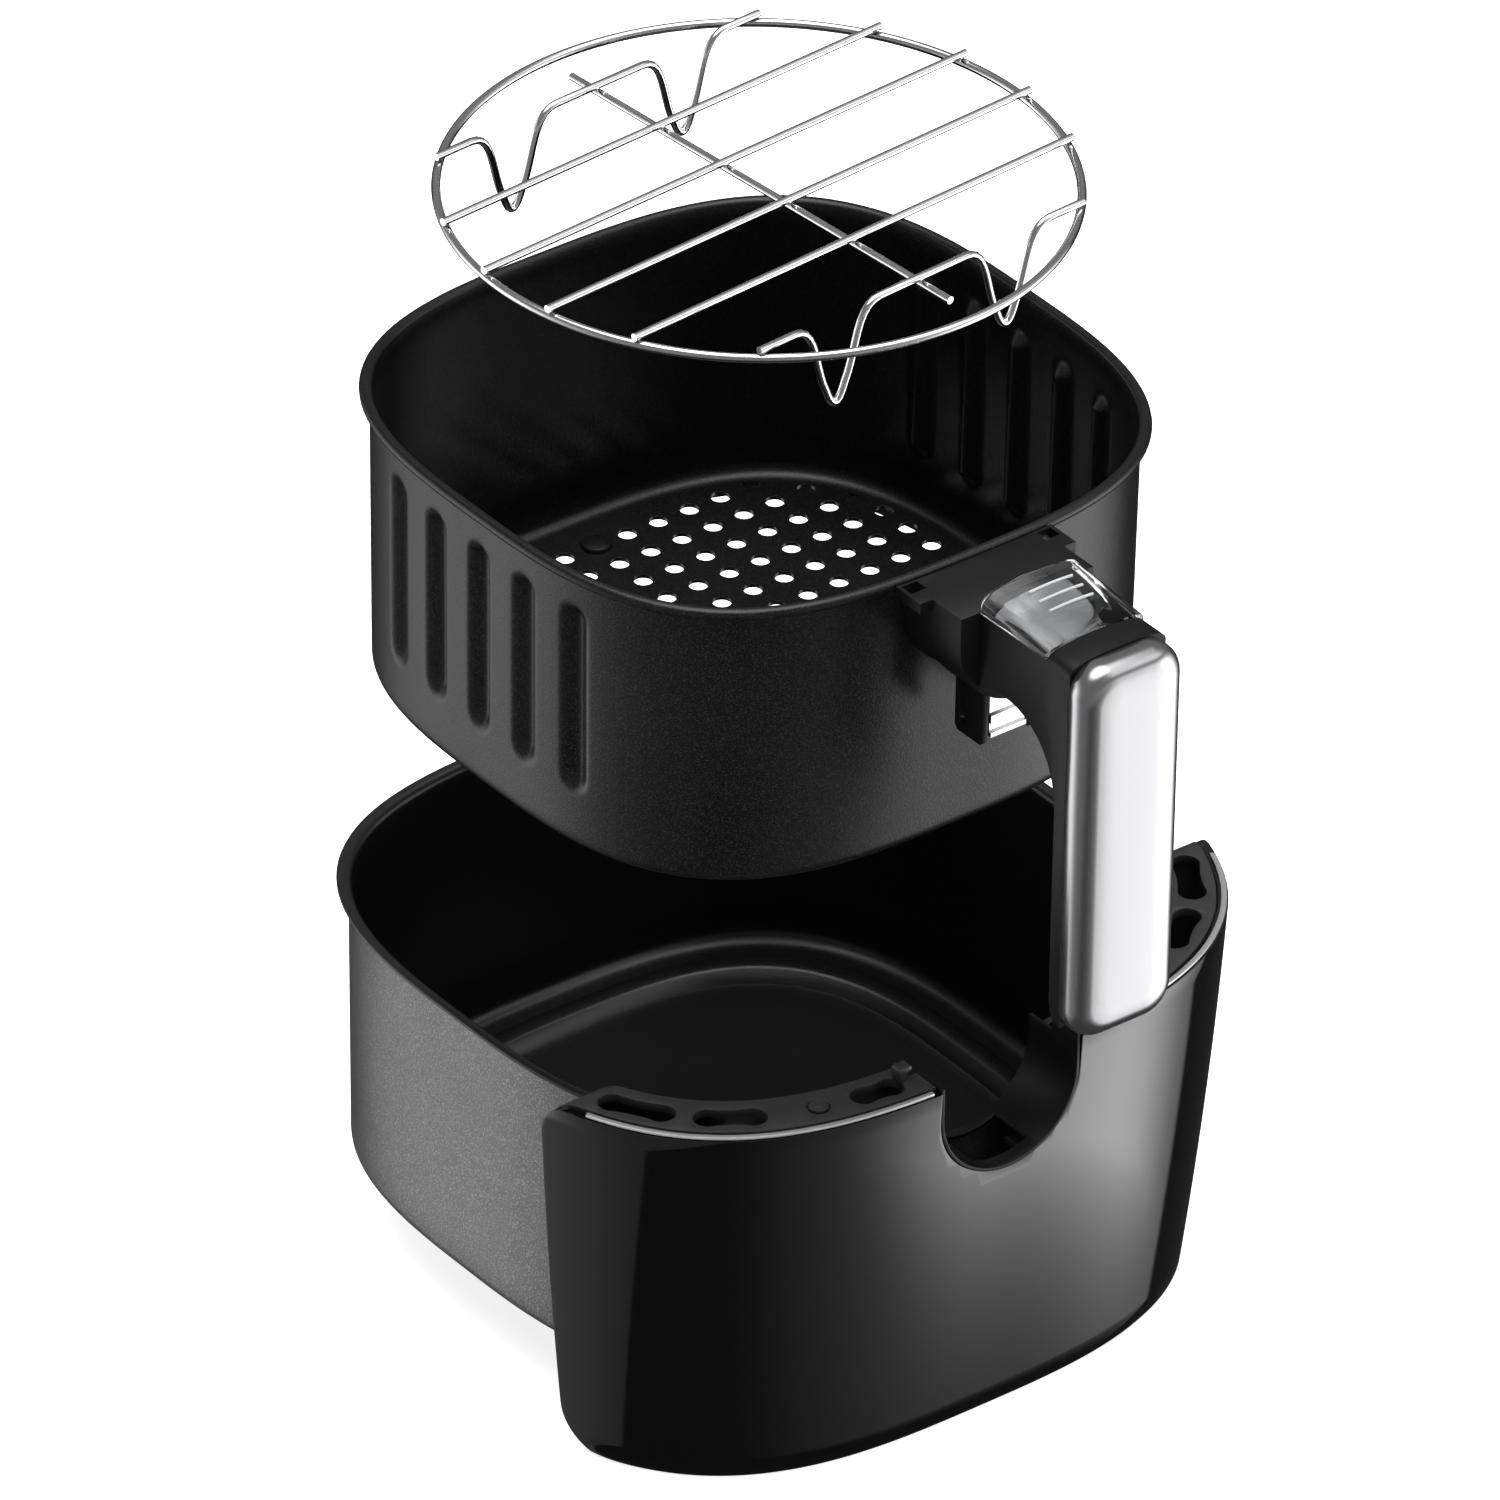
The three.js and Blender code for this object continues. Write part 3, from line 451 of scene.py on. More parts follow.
def arch(half: float, low: float, crown: float) -> list[Point2]:
    """An outline that is flat below and crowned above.

    Args:
        half: half its width.
        low: the height of its flat side.
        crown: the height of its middle.

    Returns:
        The outline, anticlockwise from its lower left corner.
    """
    shoulder = low + 0.4 * (crown - low)
    brow = crown - 0.1 * (crown - low)
    return [
        (-half, low), (half, low), (half, shoulder),
        *bezier([(half, shoulder), (half - 0.6, brow - 0.4), (half - 8, brow)]),
        *bezier([(half - 8, brow), (0, 2 * crown - brow), (8 - half, brow)], 16),
        *bezier([(8 - half, brow), (0.6 - half, brow - 0.4), (-half, shoulder)]),
    ]


# ---------------------------------------------------------------- meshes
def make_object(
    name: str, points: Iterable[Sequence[float]], faces: Iterable[Sequence[int]], lift: float
) -> Thing:
    """A mesh object from millimetre points.

    Args:
        name: the piece's name.
        points: its points, with heights from the sub-assembly's own datum.
        faces: its faces.
        lift: the datum's height in millimetres.

    Returns:
        The object, at the origin, with its faces pointing outwards.
    """
    mesh = bpy.data.meshes.new(name)
    mesh.from_pydata([(x * MM, y * MM, (z + lift) * MM) for x, y, z in points], [], list(faces))
    work = bmesh.new()
    work.from_mesh(mesh)
    bmesh.ops.remove_doubles(work, verts=work.verts, dist=1e-7)
    bmesh.ops.recalc_face_normals(work, faces=work.faces)
    work.to_mesh(mesh)
    work.free()
    made = bpy.data.objects.new(name, mesh)
    bpy.context.scene.collection.objects.link(made)
    return made


def prism(
    name: str, outline: Sequence[Point2], axis: str, low: float, high: float, lift: float
) -> Thing:
    """An outline carried along X, Y or Z from low to high.

    Args:
        name: the piece's name.
        outline: its points in the plane across the axis.
        axis: x, y or z.
        low: where it starts.
        high: where it ends.
        lift: the datum's height in millimetres.

    Returns:
        The object.
    """
    place = {
        "x": lambda a, b, at: (at, a, b), "y": lambda a, b, at: (a, at, b), "z": lambda a, b, at: (a, b, at),
    }[axis]
    size = len(outline)
    points = [place(a, b, at) for at in (low, high) for a, b in outline]
    faces = [list(range(size)), list(range(size, 2 * size))]
    faces += [[i, (i + 1) % size, size + (i + 1) % size, size + i] for i in range(size)]
    return make_object(name, points, faces, lift)


def loft(name: str, rings: Sequence[Sequence[Point3]], lift: float) -> Thing:
    """A closed body through rings of as many points each.

    Args:
        name: the piece's name.
        rings: its rings, from one end to the other.
        lift: the datum's height in millimetres.

    Returns:
        The object.
    """
    size = len(rings[0])
    points = [p for ring in rings for p in ring]
    faces = [list(range(size)), list(range(len(points) - size, len(points)))]
    for k in range(len(rings) - 1):
        base = k * size
        faces += [
            [base + i, base + (i + 1) % size, base + size + (i + 1) % size, base + size + i]
            for i in range(size)
        ]
    return make_object(name, points, faces, lift)


def box(name: str, x: Point2, y: Point2, z: Point2, lift: float) -> Thing:
    """A box between two corners, given as its reach along X, Y and Z."""
    outline = [(x[0], y[0]), (x[1], y[0]), (x[1], y[1]), (x[0], y[1])]
    return prism(name, outline, "z", z[0], z[1], lift)


def vessel(
    levels: Sequence[Point2], angles: Sequence[float], power: float, closed: bool
) -> tuple[list[list[float]], list[list[int]]]:
    """The points and faces of a rounded-square vessel.

    Args:
        levels: [half size, height] pairs along its section.
        angles: where its columns stand.
        power: how square it is.
        closed: whether the section joins its own start, or ends on the axis at both ends.

    Returns:
        Points and faces.
    """
    count = len(angles)
    points = [
        [*superellipse(a, half, half, power), z] for half, z in levels for a in angles
    ]
    faces = []
    rows = len(levels)
    for k in range(rows if closed else rows - 1):
        low, high = k * count, ((k + 1) % rows) * count
        faces += [[low + i, low + (i + 1) % count, high + (i + 1) % count, high + i] for i in range(count)]
    if not closed:
        for row in (0, rows - 1):
            center = len(points)
            points.append([0.0, 0.0, levels[row][1]])
            faces += [[center, row * count + i, row * count + (i + 1) % count] for i in range(count)]
    return points, faces


def swept_wall(
    name: str, section: Section, reach: tuple[float, float], steps: int, power: float, lift: float
) -> Thing:
    """A curved wall round a part of a rounded square.

    Args:
        name: the piece's name.
        section: its corners as half X, half Y and height.
        reach: the angles of its two ends in degrees.
        steps: how many columns lie between them.
        power: how square its path is.
        lift: the datum's height in millimetres.

    Returns:
        The object.
    """
    size = len(section)
    points = []
    for i in range(steps + 1):
        angle = math.radians(reach[0] + (reach[1] - reach[0]) * i / steps)
        points += [(*superellipse(angle, a, b, power), z) for a, b, z in section]
    faces = [list(range(size)), list(range(steps * size, (steps + 1) * size))]
    for i in range(steps):
        faces += [
            [i * size + k, i * size + (k + 1) % size, (i + 1) * size + (k + 1) % size, (i + 1) * size + k]
            for k in range(size)
        ]
    return make_object(name, points, faces, lift)


def even_angles(count: int) -> list[float]:
    """Columns spread evenly all round."""
    return [2 * math.pi * i / count for i in range(count)]


def settle(made: Thing) -> Thing:
    """Puts what the modifiers make into the object's own mesh and removes them.

    Args:
        made: the object.

    Returns:
        The same object.
    """
    bpy.context.view_layer.update()
    result = bpy.data.meshes.new_from_object(made.evaluated_get(bpy.context.evaluated_depsgraph_get()))
    made.modifiers.clear()
    made.data = result
    return made


def combine(
    base: Thing, tools: Sequence[Thing], operation: str = "DIFFERENCE"
) -> Thing:
    """Cuts, joins or meets a body with tools, which are used up.

    Args:
        base: the body.
        tools: the tools.
        operation: the Boolean modifier's operation.

    Returns:
        The same body.
    """
    for tool in tools:
        step = base.modifiers.new("step", "BOOLEAN")
        step.operation, step.solver, step.object = operation, "EXACT", tool
    settle(base)
    for tool in tools:
        bpy.data.objects.remove(tool)
    return base


def soften(made: Thing, width: float, segments: int = 2, angle: float = 35.0) -> Thing:
    """Rounds the sharp edges.

    Args:
        made: the object.
        width: the rounding in millimetres.
        segments: its steps.
        angle: how sharp an edge has to be, in degrees.

    Returns:
        The same object.
    """
    work = bmesh.new()
    work.from_mesh(made.data)
    bmesh.ops.remove_doubles(work, verts=work.verts, dist=2e-6)
    work.to_mesh(made.data)
    work.free()
    bevel = made.modifiers.new("edges", "BEVEL")
    bevel.width, bevel.segments = width * MM, segments
    bevel.limit_method, bevel.angle_limit = "ANGLE", math.radians(angle)
    return settle(made)


def smooth(made: Thing, angle: float = 32.0) -> Thing:
    """Smooth shading with creases past an angle.

    Args:
        made: the object.
        angle: where a crease starts, in degrees.

    Returns:
        The same object.
    """
    made.data.shade_smooth()
    made.data.set_sharp_from_angle(angle=math.radians(angle))
    return made


def screw_outline(x: float, y: float, radius: float, steps: int = 24) -> list[Point2]:
    """A circle."""
    return arc(x, y, radius, 0, 360, steps)[:-1]


@dataclass
class Piece:
    """How a finished piece joins the frame; heights count from its datum, at lift millimetres."""

    palette: Palette
    lift: float = 0.0

    def dress(self, made: Thing, slot: Slot, body: Body, *nodes: str) -> Thing:
        """Gives a piece its finish, its body and the CAD nodes that it stands for.

        Args:
            made: the piece.
            slot: the record's material slot.
            body: the body it rides on.
            nodes: the CAD nodes it replaces.

        Returns:
            The same piece.
        """
        made.data.materials.clear()
        made.data.materials.append(self.palette[slot])
        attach(made, body.value)
        if nodes:
            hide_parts(*nodes)
        LOG.info("%s: %d faces", made.name, len(made.data.polygons))
        return made


# ---------------------------------------------------------------- geometry nodes
class Graph(Nodes):
    """A geometry node tree with named inputs."""

    def __init__(self, name: str) -> None:
        """Starts an empty tree with a geometry in and out.

        Args:
            name: the tree's name.
        """
        tree = bpy.data.node_groups.new(name, "GeometryNodeTree")
        super().__init__(tree)
        self.identifiers: dict[str, str] = {}
        tree.interface.new_socket("Geometry", in_out="INPUT", socket_type="NodeSocketGeometry")
        tree.interface.new_socket("Geometry", in_out="OUTPUT", socket_type="NodeSocketGeometry")
        self.start = self.add("NodeGroupInput")
        self.geometry = Value(self, self.start.outputs["Geometry"])

    def input(self, name: str, kind: str = "NodeSocketFloat") -> Value:
        """A named input.

        Args:
            name: its name.
            kind: its socket's type.

        Returns:
            Its value.
        """
        socket = self.tree.interface.new_socket(name, in_out="INPUT", socket_type=kind)
        self.identifiers[name] = socket.identifier
        return Value(self, self.start.outputs[name])

    def end(self, geometry: Value) -> None:
        """Realizes instances, sets the material and ends the tree.

        Args:
            geometry: what the tree has made.
        """
        material = self.input("Material", "NodeSocketMaterial")
        real = self.value("GeometryNodeRealizeInstances", None, {0: geometry})
        dressed = self.value("GeometryNodeSetMaterial", None, {"Geometry": real, "Material": material})
        self.add("NodeGroupOutput", None, {"Geometry": dressed})

    def apply(self, made: Thing, **values: object) -> Thing:
        """Runs the tree on an object and keeps its result as a plain mesh.

        Args:
            made: the object.
            values: the tree's inputs, by name.

        Returns:
            The same object.
        """
        modifier = made.modifiers.new(self.tree.name, "NODES")
        modifier.node_group = self.tree
        for name, given in values.items():
            modifier[self.identifiers[name.replace("_", " ").capitalize()]] = given
        return settle(made)


def drain_tree() -> Graph:
    """The tree that punches a field of drain holes through a plate.

    Returns:
        The tree.
    """
    graph = Graph("drain_holes")
    pitch, radius = graph.input("Pitch"), graph.input("Hole radius")
    columns, rows = graph.input("Columns", "NodeSocketInt"), graph.input("Rows", "NodeSocketInt")
    limit, depth, height = graph.input("Field half"), graph.input("Depth"), graph.input("Height")
    grid = graph.value("GeometryNodeMeshGrid", None, {
        "Size X": (columns - 1.0) * pitch, "Size Y": (rows - 1.0) * pitch,
        "Vertices X": columns, "Vertices Y": rows,
    })
    place = graph.add("ShaderNodeSeparateXYZ", None, {0: graph.value("GeometryNodeInputPosition")})
    x = Value(graph, place.outputs[0]).math("ABSOLUTE")
    y = Value(graph, place.outputs[1]).math("ABSOLUTE")
    outside = (x ** 3.0 + y ** 3.0).math("GREATER_THAN", limit ** 3.0)
    edge_row = y.math("GREATER_THAN", (rows - 2.0) * pitch * 0.5)
    boss = x.math("LESS_THAN", pitch * 0.5) * edge_row
    field = graph.value("GeometryNodeDeleteGeometry", {"domain": "POINT"}, {
        "Geometry": grid, "Selection": outside + boss,
    })
    punch = graph.value("GeometryNodeMeshCylinder", None, {"Vertices": 20, "Radius": radius, "Depth": depth})
    punches = graph.value("GeometryNodeInstanceOnPoints", None, {"Points": field, "Instance": punch})
    level = graph.value("ShaderNodeCombineXYZ", None, {"Z": height})
    lifted = graph.value("GeometryNodeTransform", None, {
        "Geometry": graph.value("GeometryNodeRealizeInstances", None, {0: punches}), "Translation": level,
    })
    punched = graph.value("GeometryNodeMeshBoolean", {"operation": "DIFFERENCE", "solver": "EXACT"}, {
        "Mesh 1": graph.geometry, "Mesh 2": lifted,
    })
    graph.end(punched)
    return graph


def wire_tree() -> Graph:
    """The tree that turns every chain of edges into a round wire.

    Returns:
        The tree.
    """
    graph = Graph("round_wire")
    radius = graph.input("Radius")
    curve = graph.value("GeometryNodeMeshToCurve", None, {0: graph.geometry})
    ring = graph.value("GeometryNodeCurvePrimitiveCircle", {"mode": "RADIUS"}, {
        "Resolution": 14, "Radius": radius,
    })
    wire = graph.value("GeometryNodeCurveToMesh", None, {
        "Curve": curve, "Profile Curve": ring, "Fill Caps": True,
    })
    graph.end(wire)
    return graph


def ridge_tree() -> Graph:
    """The tree that repeats a ridge line along the guard as fine round ribs.

    Returns:
        The tree.
    """
    graph = Graph("guard_ridges")
    radius, pitch, fall = graph.input("Radius"), graph.input("Pitch"), graph.input("Fall")
    count = graph.input("Count", "NodeSocketInt")
    offset = graph.value("ShaderNodeCombineXYZ", None, {"Y": pitch, "Z": fall})
    places = graph.value("GeometryNodeMeshLine", None, {
        "Count": count, "Start Location": (0.0, 0.0, 0.0), "Offset": offset,
    })
    ring = graph.value("GeometryNodeCurvePrimitiveCircle", {"mode": "RADIUS"}, {
        "Resolution": 10, "Radius": radius,
    })
    rib = graph.value("GeometryNodeCurveToMesh", None, {
        "Curve": graph.value("GeometryNodeMeshToCurve", None, {0: graph.geometry}),
        "Profile Curve": ring, "Fill Caps": True,
    })
    graph.end(graph.value("GeometryNodeInstanceOnPoints", None, {"Points": places, "Instance": rib}))
    return graph


def chain_object(
    name: str, chains: Sequence[tuple[Sequence[Point3], bool]], lift: float
) -> Thing:
    """Open or closed chains of edges, to be made into wires.

    Args:
        name: the piece's name.
        chains: points of each chain, and whether it is closed.
        lift: the datum's height in millimetres.

    Returns:
        The object.
    """
    points: list[Point3] = []
    edges: list[tuple[int, int]] = []
    for chain, closed in chains:
        start, size = len(points), len(chain)
        points += [(x * MM, y * MM, (z + lift) * MM) for x, y, z in chain]
        edges += [(start + i, start + i + 1) for i in range(size - 1)]
        if closed:
            edges.append((start + size - 1, start))
    mesh = bpy.data.meshes.new(name)
    mesh.from_pydata(points, edges, [])
    made = bpy.data.objects.new(name, mesh)
    bpy.context.scene.collection.objects.link(made)
    return made


# ---------------------------------------------------------------- pan
@dataclass
class Pan(Piece):
    """The deep drawn pan with its rolled flange and stepped floor."""

    rim_half: float = 118.5
    wall_half: float = 115.0
    base_half: float = 114.0
    sheet: float = 1.2
    depth: float = 102.0
    power: float = 3.0
    fillet: float = 6.0
    ridge_half: float = 94.0
    notch_radius: float = 28.2
    notch_center: float = -0.8
    pocket_half: float = 19.0
    pocket_reach: Point2 = (-93.5, -62.0)
    pocket_flanks: Point3 = (5.0, 4.0, 6.0)
    pocket_rise: float = 9.4
    floor_zone: float = 12.0

    def levels(self) -> list[Point2]:
        """The section from the underside's middle, up outside, over the rim and down inside.

        Returns:
            Pairs of half size and height.
        """
        t, bottom, r = self.sheet, -self.depth, self.fillet
        outer = [(30.0, bottom + 1.2), (60.0, bottom + 1.2), (self.ridge_half - 6, bottom + 1.2)]
        outer += [(self.ridge_half - 3, bottom + 5.4), (self.ridge_half - 2, bottom + 6)]
        outer += [(self.ridge_half + 1, bottom + 6), (self.ridge_half + 2.4, bottom + 5.2)]
        outer += [(self.ridge_half + 6, bottom + 0.3), (self.ridge_half + 7, bottom)]
        outer += arc(self.base_half - r, bottom + r, r, -90, 0, 7)
        heights = [-88, -74, -60, -46, -32, -18, -8, -3]
        slope = (self.wall_half - self.base_half) / (self.depth - r)
        outer += [(self.wall_half + z * slope, z) for z in heights]
        rim = [
            (self.wall_half, -0.9), (self.wall_half + 0.5, -0.25), (self.wall_half + 1.2, 0),
            (self.rim_half - 0.8, 0), (self.rim_half - 0.2, 0.15), (self.rim_half, 0.6),
            (self.rim_half - 0.2, 1.05), (self.rim_half - 0.7, t), (self.wall_half + 1.6, t),
            (self.wall_half + 0.6, 1.0), (self.wall_half - 0.1, 0.7), (self.wall_half - 0.7, 0.1),
            (self.wall_half - t, -1.2),
        ]
        inner = [(self.wall_half - t + z * slope, z) for z in [-4, *reversed(heights[:-1])]]
        inner += reversed(arc(self.base_half - r - t, bottom + r + t * 0.8, r - 0.4, -90, 0, 7))
        step = [104, 102, self.ridge_half + 7.6, self.ridge_half + 6.6]
        inner += [(half, bottom + t) for half in step]
        inner += [(self.ridge_half + 3.4, bottom + 6.4), (self.ridge_half + 2, bottom + 7)]
        inner += [(self.ridge_half - 3, bottom + 7), (self.ridge_half - 4.4, bottom + 6.4)]
        inner += [(self.ridge_half - 7.2, bottom + 2.7), (self.ridge_half - 8.4, bottom + 2.4)]
        inner += [(half, bottom + 2.4) for half in (82, 78, 74, 70, 66, 62, 58, 50, 30)]
        return outer + rim + inner

    def pocket(self, x: float, y: float) -> float:
        """How far the pressed pocket at the left raises the floor, in millimetres.

        Args:
            x: the place across.
            y: the place along.

        Returns:
            The rise.
        """
        side, outer, inner = self.pocket_flanks
        low, high = self.pocket_reach
        across = clamp((self.pocket_half - abs(y)) / side)
        along = clamp((x - low) / outer) * clamp((high - x) / inner)
        return self.pocket_rise * eased(across * along)

    def build(self) -> None:
        """Makes the pan."""
        fine = [math.radians(-90 + d * 0.8) for d in range(-20, 21)]
        rest = [math.radians(-90 + 16 + 3 + d * (328 - 6) / 150) for d in range(151)]
        angles = sorted(fine + rest)
        levels = self.levels()
        points, faces = vessel(levels, angles, self.power, closed=False)
        first_inner = len(levels) // 2
        count = len(angles)
        for i, point in enumerate(points):
            rise = self.pocket(point[0], point[1])
            if i // count > first_inner and point[2] < -self.depth + self.floor_zone and rise > 0:
                point[2] = max(point[2], -self.depth + 2.4 + rise)
        made = make_object("pan", points, faces, self.lift)
        notch = prism(
            "notch", u_outline(self.notch_radius, 20, self.notch_center), "y", -130, -100, self.lift,
        )
        made = smooth(combine(made, [notch]))
        self.dress(made, Slot.PAN, Body.DRAWER, "pan_body")


# ---------------------------------------------------------------- front panel
@dataclass
class FrontPanel(Piece):
    """The gloss skin, the frame behind it, the trim and the cradle in its notch."""

    top_half: float = 137.8
    half_step: float = 1.5
    power: float = 3.04
    top: float = 10.2
    bottom: float = -128.0
    skin: float = 3.0
    end_y: float = -66.5
    frame_top: float = 11.2
    inner_half: float = 119.4
    notch_radius: float = 28.2
    notch_center: float = -0.8
    cradle_outer: float = 27.9
    vent_width: float = 9.6
    ledge_half: float = 121.0
    ledge_top: float = -32.0
    reach: Point2 = (-75.0, 75.0)
    rib_reach: Point2 = (57.0, 58.2)
    trim_reach: Point2 = (12.6, 57.0)
    vents: tuple[Point2, ...] = ((51.5, 26), (39.5, 24), (19.5, 19))
    screw_turn: float = 28.0
    screw_pocket: float = 4.0
    screw_hole: float = 1.8
    recess: Corners = ((-32.6, 32.6), (-125.3, -100), (5.4, 20))
    catch_relief: Corners = ((-12, 12), (-137, -120), (-52, -20))
    latch_slot: Corners = ((-11, 11), (-133, -117), (-40, -18))
    cradle_reach: Point2 = (-138.6, -113.4)
    clip_reach: Point2 = (-127, -122.6)

    def half(self, z: float) -> float:
        """The skin's outer half width at a height."""
        depth = self.top + 1 - z
        return self.top_half - 0.045 * depth - 0.00021 * depth * depth

    def wall(self, name: str, insets: Point2, levels: Sequence[float], tuck: float) -> Thing:
        """A wall that follows the skin.

        Args:
            name: the piece's name.
            insets: how far its two faces lie inside the skin.
            levels: its heights from the top down.
            tuck: how far its lowest edge is tucked in.

        Returns:
            The wall.
        """
        def corner(z: float, inset: float) -> Point3:
            edge = tuck if z == levels[-1] else 0.0
            width = self.half(z) - inset - edge
            return width, width + self.half_step, z

        section = [corner(z, insets[1]) for z in levels] + [corner(z, insets[0]) for z in reversed(levels)]
        return swept_wall(name, section, self.reach, 180, self.power, self.lift)

    def keep(self, inset: float) -> Thing:
        """The block whose meeting with a wall gives its ends their round corners.

        Args:
            inset: how far it lies inside the skin.

        Returns:
            The block.
        """
        end = self.end_y - inset
        low, high = self.bottom, self.frame_top if inset else self.top
        outline = [
            (-190, low - 5), (end - 18, low - 5), *arc(end - 18, low + 18, 18, -90, 0, 14),
            *arc(end - 10, high - 10, 10, 0, 90, 12), (end - 10, high + 5), (-190, high + 5),
        ]
        return prism("keep", outline, "x", -170, 170, self.lift)

    def notch(self) -> Thing:
        """The U through the front."""
        outline = u_outline(self.notch_radius, 60, self.notch_center)
        return prism("notch", outline, "y", -170, -100, self.lift)

    def build_skin(self) -> None:
        """The gloss skin."""
        steps = [self.top - i * (self.top - self.bottom - 2) / 22 for i in range(23)] + [self.bottom]
        made = self.wall("panel_skin", (0.0, self.skin), steps, 1.2)
        combine(made, [self.keep(0.0)], "INTERSECT")
        combine(made, [self.notch()])
        soften(made, 0.7, 3)
        self.dress(smooth(made), Slot.GLOSS, Body.DRAWER, "front_panel")

    def middle(self, degrees: float) -> Point2:
        """The middle line of the top plate."""
        half = (self.inner_half + self.top_half - self.skin) / 2
        return superellipse(math.radians(degrees), half, half + 0.8, self.power)

    def vent(self, degrees: float, length: float) -> Thing:
        """A long air slot along the plate, slightly waisted, as a tool.

        Args:
            degrees: where it is along the plate.
            length: its length.

        Returns:
            The tool.
        """
        (x, y), (x2, y2) = self.middle(degrees), self.middle(degrees + 1)
        turn = math.atan2(y2 - y, x2 - x)
        r = self.vent_width / 2
        run, waist = length / 2 - r, r - 1.6
        local = [*arc(run, 0, r, -90, 90, 10), *bezier([(run, r), (0, waist), (-run, r)], 8)]
        local += [*arc(-run, 0, r, 90, 270, 10)[1:], *bezier([(-run, -r), (0, -waist), (run, -r)], 8)[:-1]]
        c, s = math.cos(turn), math.sin(turn)
        outline = [(x + a * c - b * s, y + a * s + b * c) for a, b in local]
        return prism("vent", outline, "z", self.frame_top - 6, self.frame_top + 4, self.lift)

    def build_frame(self) -> None:
        """The moulded frame: top plate, skirt round the pan and shell behind the skin."""
        inner, outer = self.inner_half, self.top_half - self.skin - 0.6
        top, under = self.frame_top, self.frame_top - 3
        plate = swept_wall("panel_frame_top", [
            (inner, inner, top), (inner, inner, -3.5), (inner + 2.4, inner + 2.4, -3.5),
            (inner + 2.4, inner + 2.4, under), (outer, outer + 1.5, under), (outer, outer + 1.5, top),
        ], self.reach, 150, self.power, self.lift)
        combine(plate, [self.keep(0.6)], "INTERSECT")
        tools = [self.notch(), box("recess", *self.recess, self.lift)]
        for side in (-1, 1):
            tools += [self.vent(side * turn, length) for turn, length in self.vents]
            x, y = self.middle(side * self.screw_turn)
            pocket, hole = (screw_outline(x, y, r) for r in (self.screw_pocket, self.screw_hole))
            tools.append(prism("pocket", pocket, "z", top - 1.6, top + 2, self.lift))
            tools.append(prism("hole", hole, "z", -20, top, self.lift))
        combine(plate, tools)
        soften(plate, 0.35, 2)
        self.dress(smooth(plate), Slot.FRAME, Body.DRAWER, "panel_frame")
        near, far, high = self.ledge_half, self.ledge_half + 9, self.ledge_top
        ledge = swept_wall("panel_frame_ledge", [
            (near, near, high), (near, near, high - 2), (far, far + 1.5, high - 2), (far, far + 1.5, high),
        ], self.reach, 120, self.power, self.lift)
        combine(ledge, [self.keep(0.6)], "INTERSECT")
        combine(ledge, [box("relief", *self.catch_relief, self.lift)])
        self.dress(smooth(ledge), Slot.FRAME, Body.DRAWER)
        for side, word in SIDES:
            heights = [8, -30, -60, -90]
            skin = [(self.half(z) - 4, self.half(z) - 2.5, z) for z in reversed(heights)]
            section = [(self.inner_half + 0.4, self.inner_half + 0.4, z) for z in heights] + skin
            reach = tuple(sorted(side * turn for turn in self.rib_reach))
            rib = swept_wall(f"panel_frame_rib_{word}", section, reach, 3, self.power, self.lift)
            self.dress(smooth(rib), Slot.FRAME, Body.DRAWER)
        levels = [self.top - 2 - i * (self.top - 2 - self.bottom - 4) / 12 for i in range(13)]
        shell = self.wall("panel_frame_shell", (self.skin + 0.3, self.skin + 2.7), levels, 0.0)
        combine(shell, [self.keep(0.6)], "INTERSECT")
        combine(shell, [self.notch(), box("relief", *self.catch_relief, self.lift)])
        soften(shell, 0.3, 2)
        self.dress(smooth(shell), Slot.FRAME, Body.DRAWER)

    def build_trim(self) -> None:
        """The two bright strips on the top edge."""
        a, b, z = self.top_half - 2.2, self.top_half - 0.5, self.top + 0.3
        for side, word in SIDES:
            reach = tuple(sorted(side * turn for turn in self.trim_reach))
            section = [(a, a + 1.5, z + 1), (a, a + 1.5, z), (b, b + 1.5, z), (b, b + 1.5, z + 1)]
            made = swept_wall(f"trim_{word}", section, reach, 70, self.power, self.lift)
            soften(made, 0.3, 2)
            self.dress(smooth(made), Slot.TRIM, Body.DRAWER, f"panel_trim_{word}")

    def build_cradle(self) -> None:
        """The gutter that lines the notch, with the latch's slot in its bottom."""
        outer, inner = self.cradle_outer, self.cradle_outer - 1.2
        center = self.notch_center
        outline = u_outline(outer, self.frame_top, center) + u_outline(inner, self.frame_top, center)[::-1]
        made = prism("cradle", outline, "y", *self.cradle_reach, self.lift)
        slot = box("slot", *self.latch_slot, self.lift)
        near, far = self.top_half - 0.4, self.top_half + 19.6
        section = [(near, near + 1.1, 40), (near, near + 1.1, -60), (far, far + 1, -60), (far, far + 1, 40)]
        beyond = swept_wall("beyond", section, (-25, 25), 40, self.power, self.lift)
        combine(made, [slot, beyond, box("recess", *self.recess, self.lift)])
        soften(made, 0.25, 2)
        self.dress(smooth(made), Slot.HANDLE, Body.DRAWER, "handle_cradle")

    def build_clips(self) -> None:
        """The two small hooks beside the notch."""
        top = self.frame_top
        for side, word in SIDES:
            outline = [
                (36.2, top + 0.3), (36.2, top + 4.2), (35.6, top + 4.9), (31.8, top + 5.0),
                (31.3, top + 4.4), (31.5, top + 3.2), (33.2, top + 3.0), (33.2, top + 0.3),
            ]
            mirrored = [(side * x, z) for x, z in outline]
            made = prism(f"clip_{word}", mirrored, "y", *self.clip_reach, self.lift)
            soften(made, 0.25, 2)
            self.dress(smooth(made), Slot.FRAME, Body.DRAWER, f"cradle_clip_{word}")

    def build(self) -> None:
        """Makes every piece of the front."""
        self.build_skin()
        self.build_frame()
        self.build_trim()
        self.build_cradle()
        self.build_clips()


